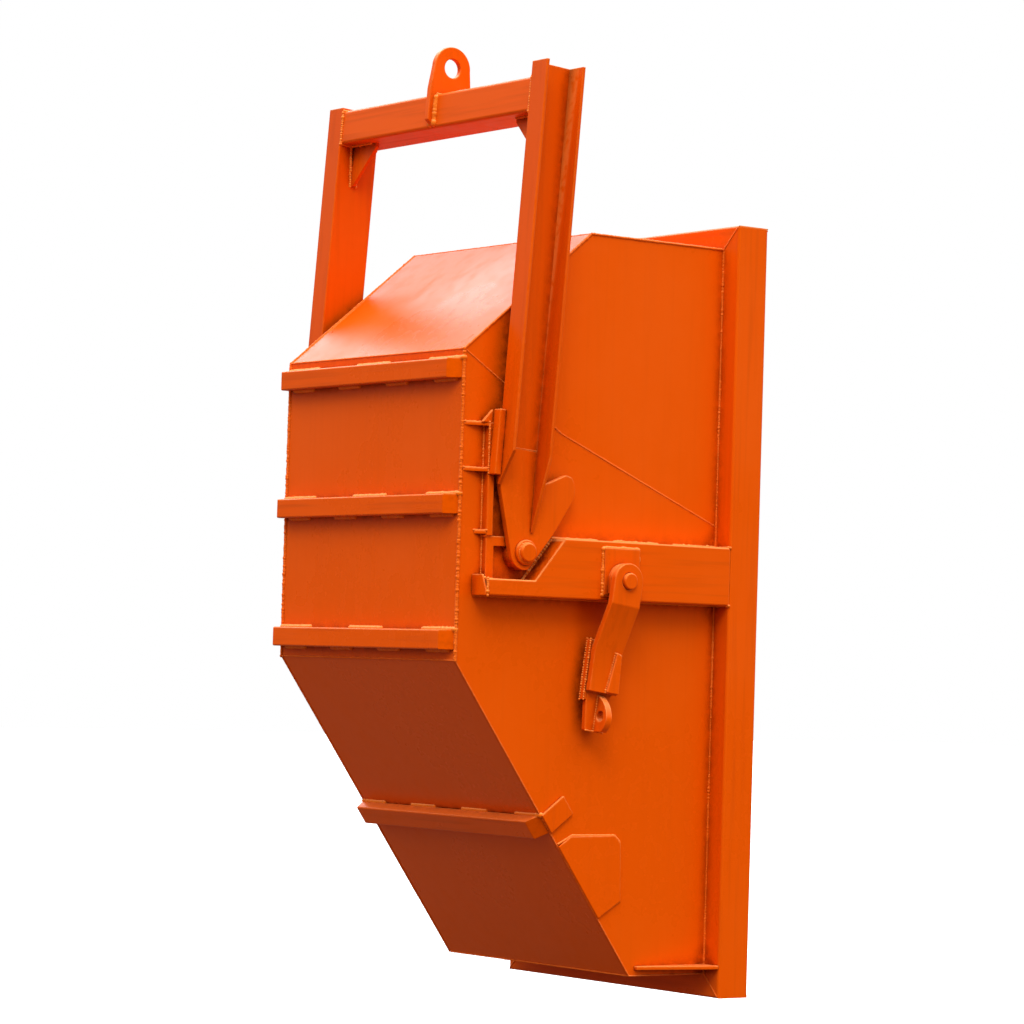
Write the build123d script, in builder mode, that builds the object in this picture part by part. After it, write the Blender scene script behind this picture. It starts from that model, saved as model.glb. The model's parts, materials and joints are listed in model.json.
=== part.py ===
from build123d import *
import math
import os

# Crane-lifted box hopper with a pivoted lifting bail.  Millimetres, +Z up, +Y towards the mouth.
# The origin is the centre of the lifting eye.  Two working frames are used:
#   hopper frame: X across, y from the mouth flange's back face, z from the flange's underside
#   bail frame:   u along the depth and v up the arms, from the pivot pin, leaning towards the mouth

# ---- driving dimensions -------------------------------------------------------------------------
plate = 6.0                  # shell plate thickness
shell_half_width = 390.0     # outside of the side plates
shell_back = -824.0          # back face, hopper frame y
mouth_height = 2000.0        # outside height of the mouth flange
flange_depth = 100.0         # flange tube along y
flange_stand = 60.0          # flange tube outwards
tube_wall = 5.0
top_edge_y = -439.0          # where the top plate meets the top slope
back_top_z = 1619.0          # where the top slope meets the back plate
back_bottom_z = 848.0        # where the back plate meets the lower slope
bottom_edge_y = -248.0       # where the lower slope meets the bottom plate
seam_knee = (-516.0, 1427.0)  # slanting plate joint on the side walls, from the back's top corner
seam_mouth_z = 1175.0

rib_height = 50.0
rib_stand = 30.0
back_rib_centres = {"upper": 1571.0, "middle": 1234.5, "lower": 899.0}
slope_rib_distance = 498.0   # from the slope's upper edge to the rib's centre
rib_return_length = 83.0
rib_return_flat = 8.0
rib_inset = 2.0              # right end stops short of the shell's side
slope_rib_height = 55.0

beam_top = 1161.0
beam_bottom = 1011.0
beam_stand = 60.0
beam_wall = 6.0
beam_slope_top_y = -535.0
beam_slope_foot_y = -625.0
beam_tail_top = 1053.0
beam_rear_y = -775.0
beam_end_rise = 10.0         # end plate above the beam's tail
beam_end_corner = (17.0, 38.0)   # its cut corner, across and down

pivot_y = -646.0
pivot_z = 1121.5
pivot_pin_r = 24.0
running_gap = 0.05
pivot_boss_r = 44.0
pivot_boss_face = 410.0      # outer end of the boss, X
pivot_pin_end = 446.0
collar_r = 31.5
collar_length = 8.0

frame_bar = 24.0             # pivot frame bar, seen from the side
frame_face = 408.0           # pivot frame outer face, X
frame_rear_y = -754.0
frame_top = 1159.0
post_width = 19.0
post_face = 414.0
post_rear_y = -757.0
pad_face = 441.0
pad_depth = 19.0
pad_low_v = 181.0            # bail frame
pad_high_v = 344.0
pad_gap = 0.3
gusset_plate = 9.0
gusset_levels = (1163.0, 1317.0, 1430.5)
gusset_rear_ys = (-780.0, -820.0, -820.0)
upright_length = 30.0        # small upright gusset on the upper plate
upright_height = 32.0
upright_overlap = 8.0        # how far it laps the post

doubler_thick = 6.0
doubler_start = 568.0        # along the slope's edge, from the slope's top
doubler_end = 793.0
doubler_corners = ((-451.0, 415.0), (-310.0, 417.0), (-291.0, 398.0), (-286.0, 251.0))
bottom_gusset_z = 75.0
bottom_gusset_y = -232.0
bottom_gusset_tip = 12.0
bottom_gusset_thick = 10.0

lean = 4.0                   # bail's lean towards the mouth, degrees
arm_outer = 483.0
arm_width = 64.0
arm_depth = 122.0
arm_back_u = -104.4
arm_web = 8.5
arm_flange = 9.0
arm_top_v = {"right": 1224.0, "left": 1196.0}
arm_foot_v = {"back": 158.0, "front": 50.0}     # where each flange tapers to its foot
arm_full_v = {"back": 242.0, "front": 239.0}    # where each flange is full height
arm_foot_stand = 4.0
end_plate = 17.0
end_plate_eye_r = 44.0
arm_seat_v = 255.0           # where the web meets the end plate
bar_height = 90.0
bar_depth = 116.0
bar_back_u = -101.0
bar_low_v = 1097.0
corner_gusset_leg = 108.0
corner_gusset_thick = 10.0
corner_gusset_u = -54.0
corner_gusset_toe = 10.0
bar_corner_r = 9.0
lug_thick = 16.0
lug_back_u = -120.0
lug_front_u = 9.0
lug_foot_v = 1117.0
eye_u = -55.5
eye_v = 1262.0
eye_r = 25.0
lug_head_r = 56.0
lug_shoulder = 13.0          # height of the lug's straight foot above the crossbar
lug_leg_chamfer = 15.0

lever_y = -361.0
lever_z = 1060.7
lever_pin_r = 21.0
lever_pin_end = 498.0
lever_lean = 8.0             # lever's lower end leans back, degrees
lever_width = 90.0
lever_thick = 18.0
boss_plate = 8.0
boss_plate_size = (112.0, 118.0)
boss_plate_z = 1084.0
lever_spacer = 12.0
lever_spacer_drop = 32.0     # straight part of the spacer below the pin's centre
lever_gap = 0.5
lever_crank = 42.0           # inward offset of the lever's lower part
lever_bend_v = (-62.0, -178.0)
lever_low_v = -286.0
tail_thick = 15.0
tail_top_v = -155.0
tail_low_v = -384.0
tail_bend_v = -309.0         # where the tail plate starts to narrow
tail_bar = 10.0              # bar along the tail's rear edge
strip_thick = 8.0
lug_eye_r = 14.0
lug_eye_v = -344.5
lug_eye_stand = 20.0         # eye's centre in front of the tail plate
lug_plate = 18.0
lug_plate_u = -3.0

# ---- derived places -----------------------------------------------------------------------------
lean_sin, lean_cos = math.sin(math.radians(lean)), math.cos(math.radians(lean))
hopper_y = -(pivot_y + eye_u * lean_cos + eye_v * lean_sin)
hopper_z = -(pivot_z - eye_u * lean_sin + eye_v * lean_cos)
shell_top = mouth_height - flange_stand
inner_half_width = shell_half_width - plate
beam_face = shell_half_width + beam_stand
end_plate_face = pivot_boss_face + 0.5 + end_plate
lever_inner = beam_face + boss_plate + lever_spacer + lever_gap
slope_run = bottom_edge_y - shell_back
slope_drop = back_bottom_z - flange_stand
slope_angle = math.degrees(math.atan2(slope_drop, slope_run))


def side_plane(x):
    """Plane facing +X at X = x, with hopper frame (y, z) as its local axes."""
    return Plane(origin=(x, hopper_y, hopper_z), x_dir=(0, 1, 0), z_dir=(1, 0, 0))


def level_plane(z):
    """Plane facing +Z at hopper height z, with (x, y) as its local axes."""
    return Plane(origin=(0, hopper_y, hopper_z + z), x_dir=(1, 0, 0), z_dir=(0, 0, 1))


def depth_plane(y):
    """Plane facing the back (-Y) at hopper depth y, with (x, z) as its local axes."""
    return Plane(origin=(0, hopper_y + y, hopper_z), x_dir=(1, 0, 0), z_dir=(0, -1, 0))


def leaning_plane(x, y, z, angle):
    """Plane facing +X through (x, y, z), its (u, v) axes leaning towards the mouth by angle."""
    s, c = math.sin(math.radians(angle)), math.cos(math.radians(angle))
    return Plane(origin=(x, hopper_y + y, hopper_z + z), x_dir=(0, c, -s), z_dir=(1, 0, 0))


def bail_plane(x):
    return leaning_plane(x, pivot_y, pivot_z, lean)


def lever_plane(x):
    return leaning_plane(x, lever_y, lever_z, lever_lean)


def outline(plane, points, thickness):
    """A flat plate: the outline drawn on a plane and extruded along its normal."""
    with BuildPart() as flat:
        with BuildSketch(plane):
            with BuildLine():
                Polyline(*points, close=True)
            make_face()
        extrude(amount=thickness)
    return flat.part


def save(name, piece):
    piece.label = name
    export_step(piece, f"parts/{name}.step")


def save_pair(name, piece):
    """Write the right-hand piece and its mirror image on the left."""
    save(f"right_{name}", piece)
    save(f"left_{name}", mirror(piece, about=Plane.YZ))


def save_both(name, piece):
    """Write a right-hand piece and its mirror image as one group of separate solids."""
    save(name, Compound(children=[piece, mirror(piece, about=Plane.YZ)]))


# ---- shell --------------------------------------------------------------------------------------
def side_plate_upper():
    points = [
        (shell_back, back_top_z),
        seam_knee,
        (flange_depth, seam_mouth_z),
        (flange_depth, shell_top),
        (top_edge_y, shell_top),
    ]
    return outline(side_plane(inner_half_width), points, plate)


def side_plate_lower():
    with BuildPart() as lower:
        with BuildSketch(side_plane(inner_half_width)):
            with BuildLine():
                Polyline(
                    (shell_back, back_top_z),
                    (shell_back, back_bottom_z),
                    (bottom_edge_y, flange_stand),
                    (flange_depth, flange_stand),
                    (flange_depth, seam_mouth_z),
                    seam_knee,
                    close=True,
                )
            make_face()
            with Locations((pivot_y, pivot_z)):
                Circle(pivot_pin_r, mode=Mode.SUBTRACT)
        extrude(amount=plate)
    return lower.part


def shell_sheet(start, end, start_cut, end_cut):
    """A plate between the side plates, from start to end of its outer line, cut back inside.

    The two cuts shorten the inner line, so that neighbouring plates meet without overlapping.
    """
    dy, dz = end[0] - start[0], end[1] - start[1]
    length = math.hypot(dy, dz)
    along = (dy / length, dz / length)
    inward = (along[1] * plate, -along[0] * plate)
    points = [
        start,
        end,
        (end[0] + inward[0] - along[0] * end_cut, end[1] + inward[1] - along[1] * end_cut),
        (start[0] + inward[0] + along[0] * start_cut, start[1] + inward[1] + along[1] * start_cut),
    ]
    return outline(side_plane(-inner_half_width), points, 2 * inner_half_width)


def miter_cut(a, b, c):
    """How far the inner line of plate ab stops short of its outer line at the bend b."""
    turn = math.atan2(c[1] - b[1], c[0] - b[0]) - math.atan2(b[1] - a[1], b[0] - a[0])
    return plate * math.tan(abs(turn) / 2)


def make_shell():
    profile = [
        (flange_depth, flange_stand),
        (bottom_edge_y, flange_stand),
        (shell_back, back_bottom_z),
        (shell_back, back_top_z),
        (top_edge_y, shell_top),
        (flange_depth, shell_top),
    ]
    names = ["bottom_plate", "lower_slope_plate", "back_plate", "top_slope_plate", "top_plate"]
    cuts = [0.0] + [miter_cut(*profile[i - 1:i + 2]) for i in range(1, 5)] + [0.0]
    for i, name in enumerate(names):
        save(name, shell_sheet(profile[i], profile[i + 1], cuts[i], cuts[i + 1]))
    save_pair("side_plate_upper", side_plate_upper())
    save_pair("side_plate_lower", side_plate_lower())


# ---- mouth flange -------------------------------------------------------------------------------
def flange_tube(plane, long_half, short_half):
    """One mitred tube: a ring sector drawn on a plane facing the mouth, hollow inside."""
    with BuildPart() as tube:
        with BuildSketch(plane):
            with BuildLine():
                Polyline(
                    (-long_half, flange_stand),
                    (long_half, flange_stand),
                    (short_half, 0),
                    (-short_half, 0),
                    close=True,
                )
            make_face()
        extrude(amount=flange_depth)
        with BuildSketch(plane.offset(tube_wall)):
            with BuildLine():
                Polyline(
                    (-long_half, flange_stand - tube_wall),
                    (long_half, flange_stand - tube_wall),
                    (long_half, tube_wall),
                    (-long_half, tube_wall),
                    close=True,
                )
            make_face()
        extrude(amount=flange_depth - 2 * tube_wall, mode=Mode.SUBTRACT)
    return tube.part


def flange_plane(centre, outwards):
    """Plane facing the mouth, its local y axis pointing outwards from the opening."""
    x, z = centre
    x_dir = (-outwards[1], 0, outwards[0])
    return Plane(origin=(x, hopper_y, hopper_z + z), x_dir=x_dir, z_dir=(0, 1, 0))


def make_flange():
    half_width = shell_half_width + flange_stand
    half_height = mouth_height / 2
    inner_half_height = half_height - flange_stand
    sides = {"top": (0, 1), "bottom": (0, -1), "right": (1, 0), "left": (-1, 0)}
    for name, outwards in sides.items():
        level = outwards[0] == 0
        reach = inner_half_height if level else shell_half_width
        centre = (outwards[0] * reach, half_height + outwards[1] * reach)
        long_half = half_width if level else half_height
        save(f"flange_{name}_tube", flange_tube(
            flange_plane(centre, outwards), long_half, long_half - flange_stand))


# ---- ribs ---------------------------------------------------------------------------------------
def rib_on(plane, height):
    """Box rib drawn in plan on a plane: square at the left end, cut at 45 degrees at the right."""
    with BuildPart() as rib:
        with BuildSketch(plane):
            with BuildLine():
                Polyline(
                    (-shell_half_width, 0),
                    (shell_half_width - rib_inset, 0),
                    (shell_half_width - rib_inset - rib_stand, -rib_stand),
                    (-shell_half_width, -rib_stand),
                    close=True,
                )
            make_face()
        extrude(amount=height / 2, both=True)
    return rib.part


def slope_point(distance, stand):
    """Hopper (y, z) of a point on the lower slope, standing out from its outer face."""
    s, c = math.sin(math.radians(slope_angle)), math.cos(math.radians(slope_angle))
    y = shell_back + distance * c - stand * s
    z = back_bottom_z - distance * s - stand * c
    return y, z


def slope_rib_plane():
    """Plane across the slope at the rib's centre: local y points out of the hopper's inside."""
    s, c = math.sin(math.radians(slope_angle)), math.cos(math.radians(slope_angle))
    y, z = slope_point(slope_rib_distance, 0)
    return Plane(origin=(0, hopper_y + y, hopper_z + z), x_dir=(1, 0, 0), z_dir=(0, -c, s))


def slope_rib_return():
    """Flat on the side wall that carries the slope rib's load round the corner."""
    with BuildPart() as flat:
        with BuildSketch(slope_rib_plane()):
            with Locations((shell_half_width + rib_return_flat / 2, rib_return_length / 2)):
                Rectangle(rib_return_flat, rib_return_length)
        extrude(amount=slope_rib_height / 2, both=True)
    return flat.part


def make_ribs():
    for name, z in back_rib_centres.items():
        plane = Plane(origin=(0, hopper_y + shell_back, hopper_z + z), z_dir=(0, 0, 1))
        save(f"back_rib_{name}", rib_on(plane, rib_height))
    save("slope_rib", rib_on(slope_rib_plane(), slope_rib_height))
    save_both("slope_rib_returns", slope_rib_return())


# ---- side beams ---------------------------------------------------------------------------------
def beam_slope_y(z):
    """Depth of the beam's sloping rear end at height z."""
    share = (beam_top - z) / (beam_top - beam_tail_top)
    return beam_slope_top_y + share * (beam_slope_foot_y - beam_slope_top_y)


def side_beam():
    """Pressed pan, open towards the side wall, with a notch for the bail's end plate."""
    with BuildPart() as beam:
        with BuildSketch(side_plane(shell_half_width)):
            with BuildLine():
                Polyline(
                    (0, beam_bottom),
                    (0, beam_top),
                    (beam_slope_top_y, beam_top),
                    (beam_slope_foot_y, beam_tail_top),
                    (beam_rear_y, beam_tail_top),
                    (beam_rear_y, beam_bottom),
                    close=True,
                )
            make_face()
        extrude(amount=beam_stand)
        with BuildSketch(side_plane(shell_half_width)):
            with BuildLine():
                Polyline(
                    (0, beam_bottom + beam_wall),
                    (0, beam_top - beam_wall),
                    (beam_slope_y(beam_top - beam_wall), beam_top - beam_wall),
                    (beam_slope_y(beam_tail_top - beam_wall), beam_tail_top - beam_wall),
                    (beam_rear_y, beam_tail_top - beam_wall),
                    (beam_rear_y, beam_bottom + beam_wall),
                    close=True,
                )
            make_face()
        extrude(amount=beam_stand - beam_wall, mode=Mode.SUBTRACT)
        with BuildSketch(side_plane(beam_face)):
            with Locations((lever_y, lever_z)):
                Circle(lever_pin_r)
        extrude(amount=-beam_wall, mode=Mode.SUBTRACT)
        outer_edges = beam.edges().filter_by(Axis.Y).group_by(Axis.X)[-1]
        fillet(outer_edges, radius=beam_wall - 1)
    return beam.part


def beam_slope_plate():
    """Plate that closes the sloping rear end, set between the pan's edges."""
    low, high = beam_tail_top - beam_wall, beam_top - beam_wall
    points = [
        (beam_slope_y(high), high),
        (beam_slope_y(high) + plate, high),
        (beam_slope_y(low) + plate, low),
        (beam_slope_y(low), low),
    ]
    return outline(side_plane(shell_half_width), points, beam_stand - beam_wall)


def beam_end_plate():
    """Plate over the beam's rear end, its outer top corner cut off."""
    top = beam_tail_top + beam_end_rise
    corner_across, corner_down = beam_end_corner
    points = [
        (shell_half_width, beam_bottom),
        (beam_face, beam_bottom),
        (beam_face, top - corner_down),
        (beam_face - corner_across, top),
        (shell_half_width, top),
    ]
    return outline(depth_plane(beam_rear_y), points, plate)


# ---- pivot and stops on the side wall -----------------------------------------------------------
def pivot_frame():
    """L-shaped flat bar behind the pivot pocket, its top arm reaching the pivot boss."""
    with BuildPart() as frame:
        with BuildSketch(side_plane(shell_half_width)):
            with BuildLine():
                Polyline(
                    (frame_rear_y, beam_tail_top),
                    (frame_rear_y, frame_top),
                    (pivot_y, frame_top),
                    (pivot_y, frame_top - frame_bar),
                    (frame_rear_y + frame_bar, frame_top - frame_bar),
                    (frame_rear_y + frame_bar, beam_tail_top),
                    close=True,
                )
            make_face()
            with Locations((pivot_y, pivot_z)):
                Circle(pivot_boss_r, mode=Mode.SUBTRACT)
        extrude(amount=frame_face - shell_half_width)
    return frame.part


def stop_post():
    points = [
        (post_rear_y, frame_top),
        (post_rear_y, gusset_levels[2] + gusset_plate),
        (post_rear_y + post_width, gusset_levels[2] + gusset_plate),
        (post_rear_y + post_width, frame_top),
    ]
    return outline(side_plane(shell_half_width), points, post_face - shell_half_width)


def stop_pad():
    """Bar behind the arm's back flange, parallel to it."""
    face_u = arm_back_u - pad_gap
    points = [
        (face_u - pad_depth, pad_low_v),
        (face_u, pad_low_v),
        (face_u, pad_high_v),
        (face_u - pad_depth, pad_high_v),
    ]
    return outline(bail_plane(post_face), points, pad_face - post_face)


def stop_gussets():
    """Three level triangular plates behind the post and a small upright one on the upper plate."""
    pieces = []
    for level, rear_y in zip(gusset_levels, gusset_rear_ys):
        points = [
            (shell_half_width, rear_y),
            (shell_half_width, post_rear_y),
            (post_face, post_rear_y),
        ]
        pieces.append(outline(level_plane(level), points, gusset_plate))
    foot = gusset_levels[2] + gusset_plate
    front_y = post_rear_y + upright_overlap
    upright = [
        (front_y - upright_length, foot),
        (front_y, foot),
        (front_y, foot + upright_height),
    ]
    pieces.append(outline(side_plane(post_face - gusset_plate), upright, gusset_plate))
    return Compound(children=pieces)


def round_bar(centre, radius, start_x, end_x, bore=0.0, edge=0.0):
    """Round piece along X: a boss, pin, ring or spacer."""
    with BuildPart() as bar:
        with BuildSketch(side_plane(start_x)):
            with Locations(centre):
                Circle(radius)
                if bore:
                    Circle(bore, mode=Mode.SUBTRACT)
        extrude(amount=end_x - start_x)
        if edge:
            rim = bar.edges().filter_by(GeomType.CIRCLE).group_by(Axis.X)[-1].sort_by(SortBy.RADIUS)[-1]
            chamfer(rim, length=edge)
    return bar.part


def make_side_fittings():
    pivot = (pivot_y, pivot_z)
    collar_start = end_plate_face + 0.5
    save_pair("side_beam", side_beam())
    save_pair("beam_slope_plate", beam_slope_plate())
    save_both("beam_end_plates", beam_end_plate())
    save_pair("pivot_frame", pivot_frame())
    save_pair("stop_post", stop_post())
    save_pair("stop_pad", stop_pad())
    save_pair("stop_gussets", stop_gussets())
    save_both("pivot_bosses", round_bar(
        pivot, pivot_boss_r, shell_half_width, pivot_boss_face, bore=pivot_pin_r))
    save_pair("pivot_pin", round_bar(pivot, pivot_pin_r, inner_half_width, pivot_pin_end, edge=3.0))
    save_pair("pin_collar", round_bar(
        pivot, collar_r, collar_start, collar_start + collar_length, bore=pivot_pin_r, edge=2.0))


# ---- doubler and bottom gusset ------------------------------------------------------------------
def doubler():
    """Patch plate on the side wall, its lower left side along the slope's edge."""
    points = [slope_point(doubler_start, 0), *doubler_corners, slope_point(doubler_end, 0)]
    return outline(side_plane(shell_half_width), points, doubler_thick)


def bottom_gusset():
    """Level plate between the side wall's foot and the mouth flange, tapering to the back."""
    points = [
        (shell_half_width, bottom_gusset_y),
        (shell_half_width + bottom_gusset_tip, bottom_gusset_y),
        (shell_half_width + flange_stand, 0.0),
        (shell_half_width, 0.0),
    ]
    return outline(level_plane(bottom_gusset_z), points, bottom_gusset_thick)


# ---- lifting bail -------------------------------------------------------------------------------
def arm(top_v):
    """Channel, open outwards; its flanges taper away at the foot, over the end plate."""
    front_u = arm_back_u + arm_depth
    web_x = arm_outer - arm_width
    with BuildPart() as channel:
        with BuildSketch(bail_plane(web_x)):
            with BuildLine():
                Polyline(
                    (arm_back_u, arm_seat_v),
                    (arm_back_u, top_v),
                    (front_u, top_v),
                    (front_u, arm_seat_v),
                    close=True,
                )
            make_face()
        extrude(amount=arm_width)
        with BuildSketch(bail_plane(web_x + arm_web)):
            with BuildLine():
                Polyline(
                    (arm_back_u + arm_flange, arm_seat_v),
                    (arm_back_u + arm_flange, top_v),
                    (front_u - arm_flange, top_v),
                    (front_u - arm_flange, arm_seat_v),
                    close=True,
                )
            make_face()
        extrude(amount=arm_width - arm_web, mode=Mode.SUBTRACT)
        flanges = {"back": arm_back_u, "front": front_u - arm_flange}
        for side, u in flanges.items():
            flat = bail_plane(end_plate_face)
            edge_on = Plane(origin=flat.from_local_coords((u, 0, 0)), x_dir=(1, 0, 0),
                            z_dir=-flat.x_dir)
            with BuildSketch(edge_on):
                with BuildLine():
                    Polyline(
                        (0, arm_foot_v[side]),
                        (0, arm_seat_v),
                        (arm_outer - end_plate_face, arm_seat_v),
                        (arm_outer - end_plate_face, arm_full_v[side]),
                        (arm_foot_stand, arm_foot_v[side]),
                        close=True,
                    )
                make_face()
            extrude(amount=-arm_flange)
    return channel.part


def arm_end_plate():
    """Plate below the arm: round the pivot bore, with a finger towards the mouth as a stop."""
    front_u = arm_back_u + arm_depth
    with BuildPart() as foot:
        with BuildSketch(bail_plane(end_plate_face - end_plate)):
            with BuildLine():
                rear = Polyline(
                    (arm_back_u, arm_seat_v),
                    (arm_back_u, 195.0),
                    (-93.0, 154.0),
                )
                ring = CenterArc((0, 0), end_plate_eye_r, 197.0, 91.0)
                Line(rear @ 1, ring @ 0)
                edge = Polyline(ring @ 1, (84.0, 56.0), (132.0, 140.0))
                nose = ThreePointArc(edge @ 1, (139.0, 175.0), (126.0, 203.0))
                top = Polyline(
                    nose @ 1,
                    (108.0, 207.0),
                    (60.0, 183.0),
                    (front_u, 166.0),
                    (front_u, arm_seat_v),
                )
                Line(top @ 1, rear @ 0)
            make_face()
            Circle(pivot_pin_r + running_gap, mode=Mode.SUBTRACT)
        extrude(amount=end_plate)
    return foot.part


def crossbar():
    half = arm_outer - arm_width
    with BuildPart() as bar:
        with BuildSketch(bail_plane(-half)):
            with Locations((bar_back_u + bar_depth / 2, bar_low_v + bar_height / 2)):
                RectangleRounded(bar_depth, bar_height, bar_corner_r)
                RectangleRounded(bar_depth - 2 * plate, bar_height - 2 * plate, bar_corner_r - plate,
                                 mode=Mode.SUBTRACT)
        extrude(amount=2 * half)
    return bar.part


def corner_gusset():
    """Triangular plate between an arm's web and the crossbar's underside."""
    inner = arm_outer - arm_width
    middle = bail_plane(0).from_local_coords((corner_gusset_u, bar_low_v, 0))
    plane = Plane(origin=middle, x_dir=(1, 0, 0), z_dir=bail_plane(0).x_dir)
    with BuildPart() as corner:
        with BuildSketch(plane):
            with BuildLine():
                Polyline(
                    (inner, 0),
                    (inner - corner_gusset_leg, 0),
                    (inner - corner_gusset_leg, corner_gusset_toe),
                    (inner - corner_gusset_toe, corner_gusset_leg),
                    (inner, corner_gusset_leg),
                    close=True,
                )
            make_face()
        extrude(amount=corner_gusset_thick / 2, both=True)
    return corner.part


def lifting_lug():
    """Eye plate over the crossbar, with a leg down the bar's back face."""
    bar_top = bar_low_v + bar_height
    with BuildPart() as lug:
        with BuildSketch(bail_plane(-lug_thick / 2)):
            with BuildLine():
                head = CenterArc((eye_u, eye_v), lug_head_r, 0.0, 180.0)
                Polyline(
                    head @ 1,
                    (lug_back_u, bar_top + lug_shoulder),
                    (lug_back_u, lug_foot_v),
                    (bar_back_u, lug_foot_v - lug_leg_chamfer),
                    (bar_back_u, bar_top),
                    (lug_front_u, bar_top),
                    (lug_front_u, bar_top + lug_shoulder),
                    head @ 0,
                )
            make_face()
            with Locations((eye_u, eye_v)):
                Circle(eye_r, mode=Mode.SUBTRACT)
        extrude(amount=lug_thick)
    return lug.part


def make_bail():
    save("right_arm", arm(arm_top_v["right"]))
    save("left_arm", mirror(arm(arm_top_v["left"]), about=Plane.YZ))
    save_pair("arm_end_plate", arm_end_plate())
    save("crossbar", crossbar())
    save_both("corner_gussets", corner_gusset())
    save("lifting_lug", lifting_lug())


# ---- latch levers -------------------------------------------------------------------------------
def lever_boss_plate():
    """Rectangular pad welded to the beam's face, bored for the lever pin."""
    with BuildPart() as pad:
        with BuildSketch(side_plane(beam_face)):
            with Locations((lever_y, boss_plate_z)):
                Rectangle(*boss_plate_size)
            with Locations((lever_y, lever_z)):
                Circle(lever_pin_r, mode=Mode.SUBTRACT)
        extrude(amount=boss_plate)
    return pad.part


def lever_washer():
    """Spacer with a round head behind the lever, concentric with its pin."""
    half = lever_width / 2
    with BuildPart() as spacer:
        with BuildSketch(side_plane(beam_face + boss_plate)):
            with Locations((lever_y, lever_z)):
                Circle(half)
            with Locations((lever_y, lever_z - lever_spacer_drop / 2)):
                Rectangle(2 * half, lever_spacer_drop)
            with Locations((lever_y, lever_z)):
                Circle(lever_pin_r, mode=Mode.SUBTRACT)
        extrude(amount=lever_spacer)
    return spacer.part


def latch_lever():
    """Cranked flat bar: side profile drawn on edge, then trimmed to its front outline."""
    bend_top, bend_low = lever_bend_v
    half = lever_width / 2
    crank_x = lever_inner - lever_crank
    flat = lever_plane(0)
    edge_on = Plane(origin=flat.from_local_coords((-half, 0, 0)), x_dir=(1, 0, 0), z_dir=-flat.x_dir)
    with BuildPart() as lever:
        with BuildSketch(edge_on):
            with BuildLine():
                Polyline(
                    (lever_inner, half + 2),
                    (lever_inner + lever_thick, half + 2),
                    (lever_inner + lever_thick, bend_top),
                    (crank_x + lever_thick, bend_low),
                    (crank_x + lever_thick, lever_low_v),
                    (crank_x, lever_low_v),
                    (crank_x, bend_low),
                    (lever_inner, bend_top),
                    close=True,
                )
            make_face()
        extrude(amount=-lever_width)
        with BuildSketch(lever_plane(crank_x)):
            Circle(half)
            with Locations((0, (lever_low_v - 5) / 2)):
                Rectangle(lever_width, -lever_low_v + 5)
        extrude(amount=lever_crank + lever_thick, mode=Mode.INTERSECT)
        with BuildSketch(lever_plane(lever_inner)):
            Circle(lever_pin_r + running_gap)
        extrude(amount=lever_thick, mode=Mode.SUBTRACT)
    return lever.part


def lever_tail():
    """Plate behind the lever's lower part; it carries the eye lug below the lever's end."""
    points = [
        (-40.0, tail_top_v),
        (40.0, tail_top_v),
        (38.0, tail_bend_v),
        (29.0, tail_low_v),
        (-29.0, tail_low_v),
        (-38.0, tail_bend_v),
    ]
    return outline(lever_plane(lever_inner - lever_crank - tail_thick), points, tail_thick)


def lever_stiffeners():
    """Tapered strip on the lever's lower face, and a bar along the tail's rear edge."""
    face = lever_inner - lever_crank
    strip = [(21.0, -180.0), (38.0, -184.0), (43.0, -283.0), (5.0, -283.0)]
    bar = [
        (-40.0 - tail_bar, tail_top_v),
        (-40.0, tail_top_v),
        (-38.0, tail_bend_v),
        (-38.0 - tail_bar, tail_bend_v),
    ]
    return Compound(children=[
        outline(lever_plane(face + lever_thick), strip, strip_thick),
        outline(lever_plane(face - tail_thick), bar, tail_thick),
    ])


def lever_lug():
    """D-shaped eye standing out of the tail plate, its hole along the depth."""
    flat = lever_plane(0)
    root = lever_inner - lever_crank
    origin = flat.from_local_coords((lug_plate_u, 0, 0))
    plane = Plane(origin=origin, x_dir=(1, 0, 0), z_dir=-flat.x_dir)
    with BuildPart() as eye:
        with BuildSketch(plane):
            with BuildLine():
                back = Line((root, tail_low_v), (root, -291.0))
                brow = ThreePointArc(back @ 1, (root + 32.0, -315.0), (root + 47.0, -345.0))
                chin = ThreePointArc(brow @ 1, (root + 43.0, -370.0), (root + 30.0, tail_low_v))
                Line(chin @ 1, back @ 0)
            make_face()
            with Locations((root + lug_eye_stand, lug_eye_v)):
                Circle(lug_eye_r, mode=Mode.SUBTRACT)
        extrude(amount=-lug_plate)
    return eye.part


def make_levers():
    save_pair("lever_boss_plate", lever_boss_plate())
    save_pair("lever_spacer", lever_washer())
    save_pair("lever_pin", round_bar(
        (lever_y, lever_z), lever_pin_r, beam_face - beam_wall, lever_pin_end, edge=2.5))
    save_pair("latch_lever", latch_lever())
    save_pair("lever_tail", lever_tail())
    save_pair("lever_stiffeners", lever_stiffeners())
    save_pair("lever_lug", lever_lug())


os.makedirs("parts", exist_ok=True)
make_shell()
make_flange()
make_ribs()
make_side_fittings()
save_both("doublers", doubler())
save_both("bottom_gussets", bottom_gusset())
make_bail()
make_levers()
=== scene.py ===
"""Lifting hopper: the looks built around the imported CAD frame.

Everything is in metres in the frame of the CAD model: the origin is the centre of the lifting
eye, +Z is up and +Y points towards the open mouth.
"""
from __future__ import annotations

import json
import logging
import math
from dataclasses import dataclass
from enum import Enum
from typing import Iterable, Sequence

import bmesh
import bpy
from mathutils import Matrix, Vector

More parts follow.
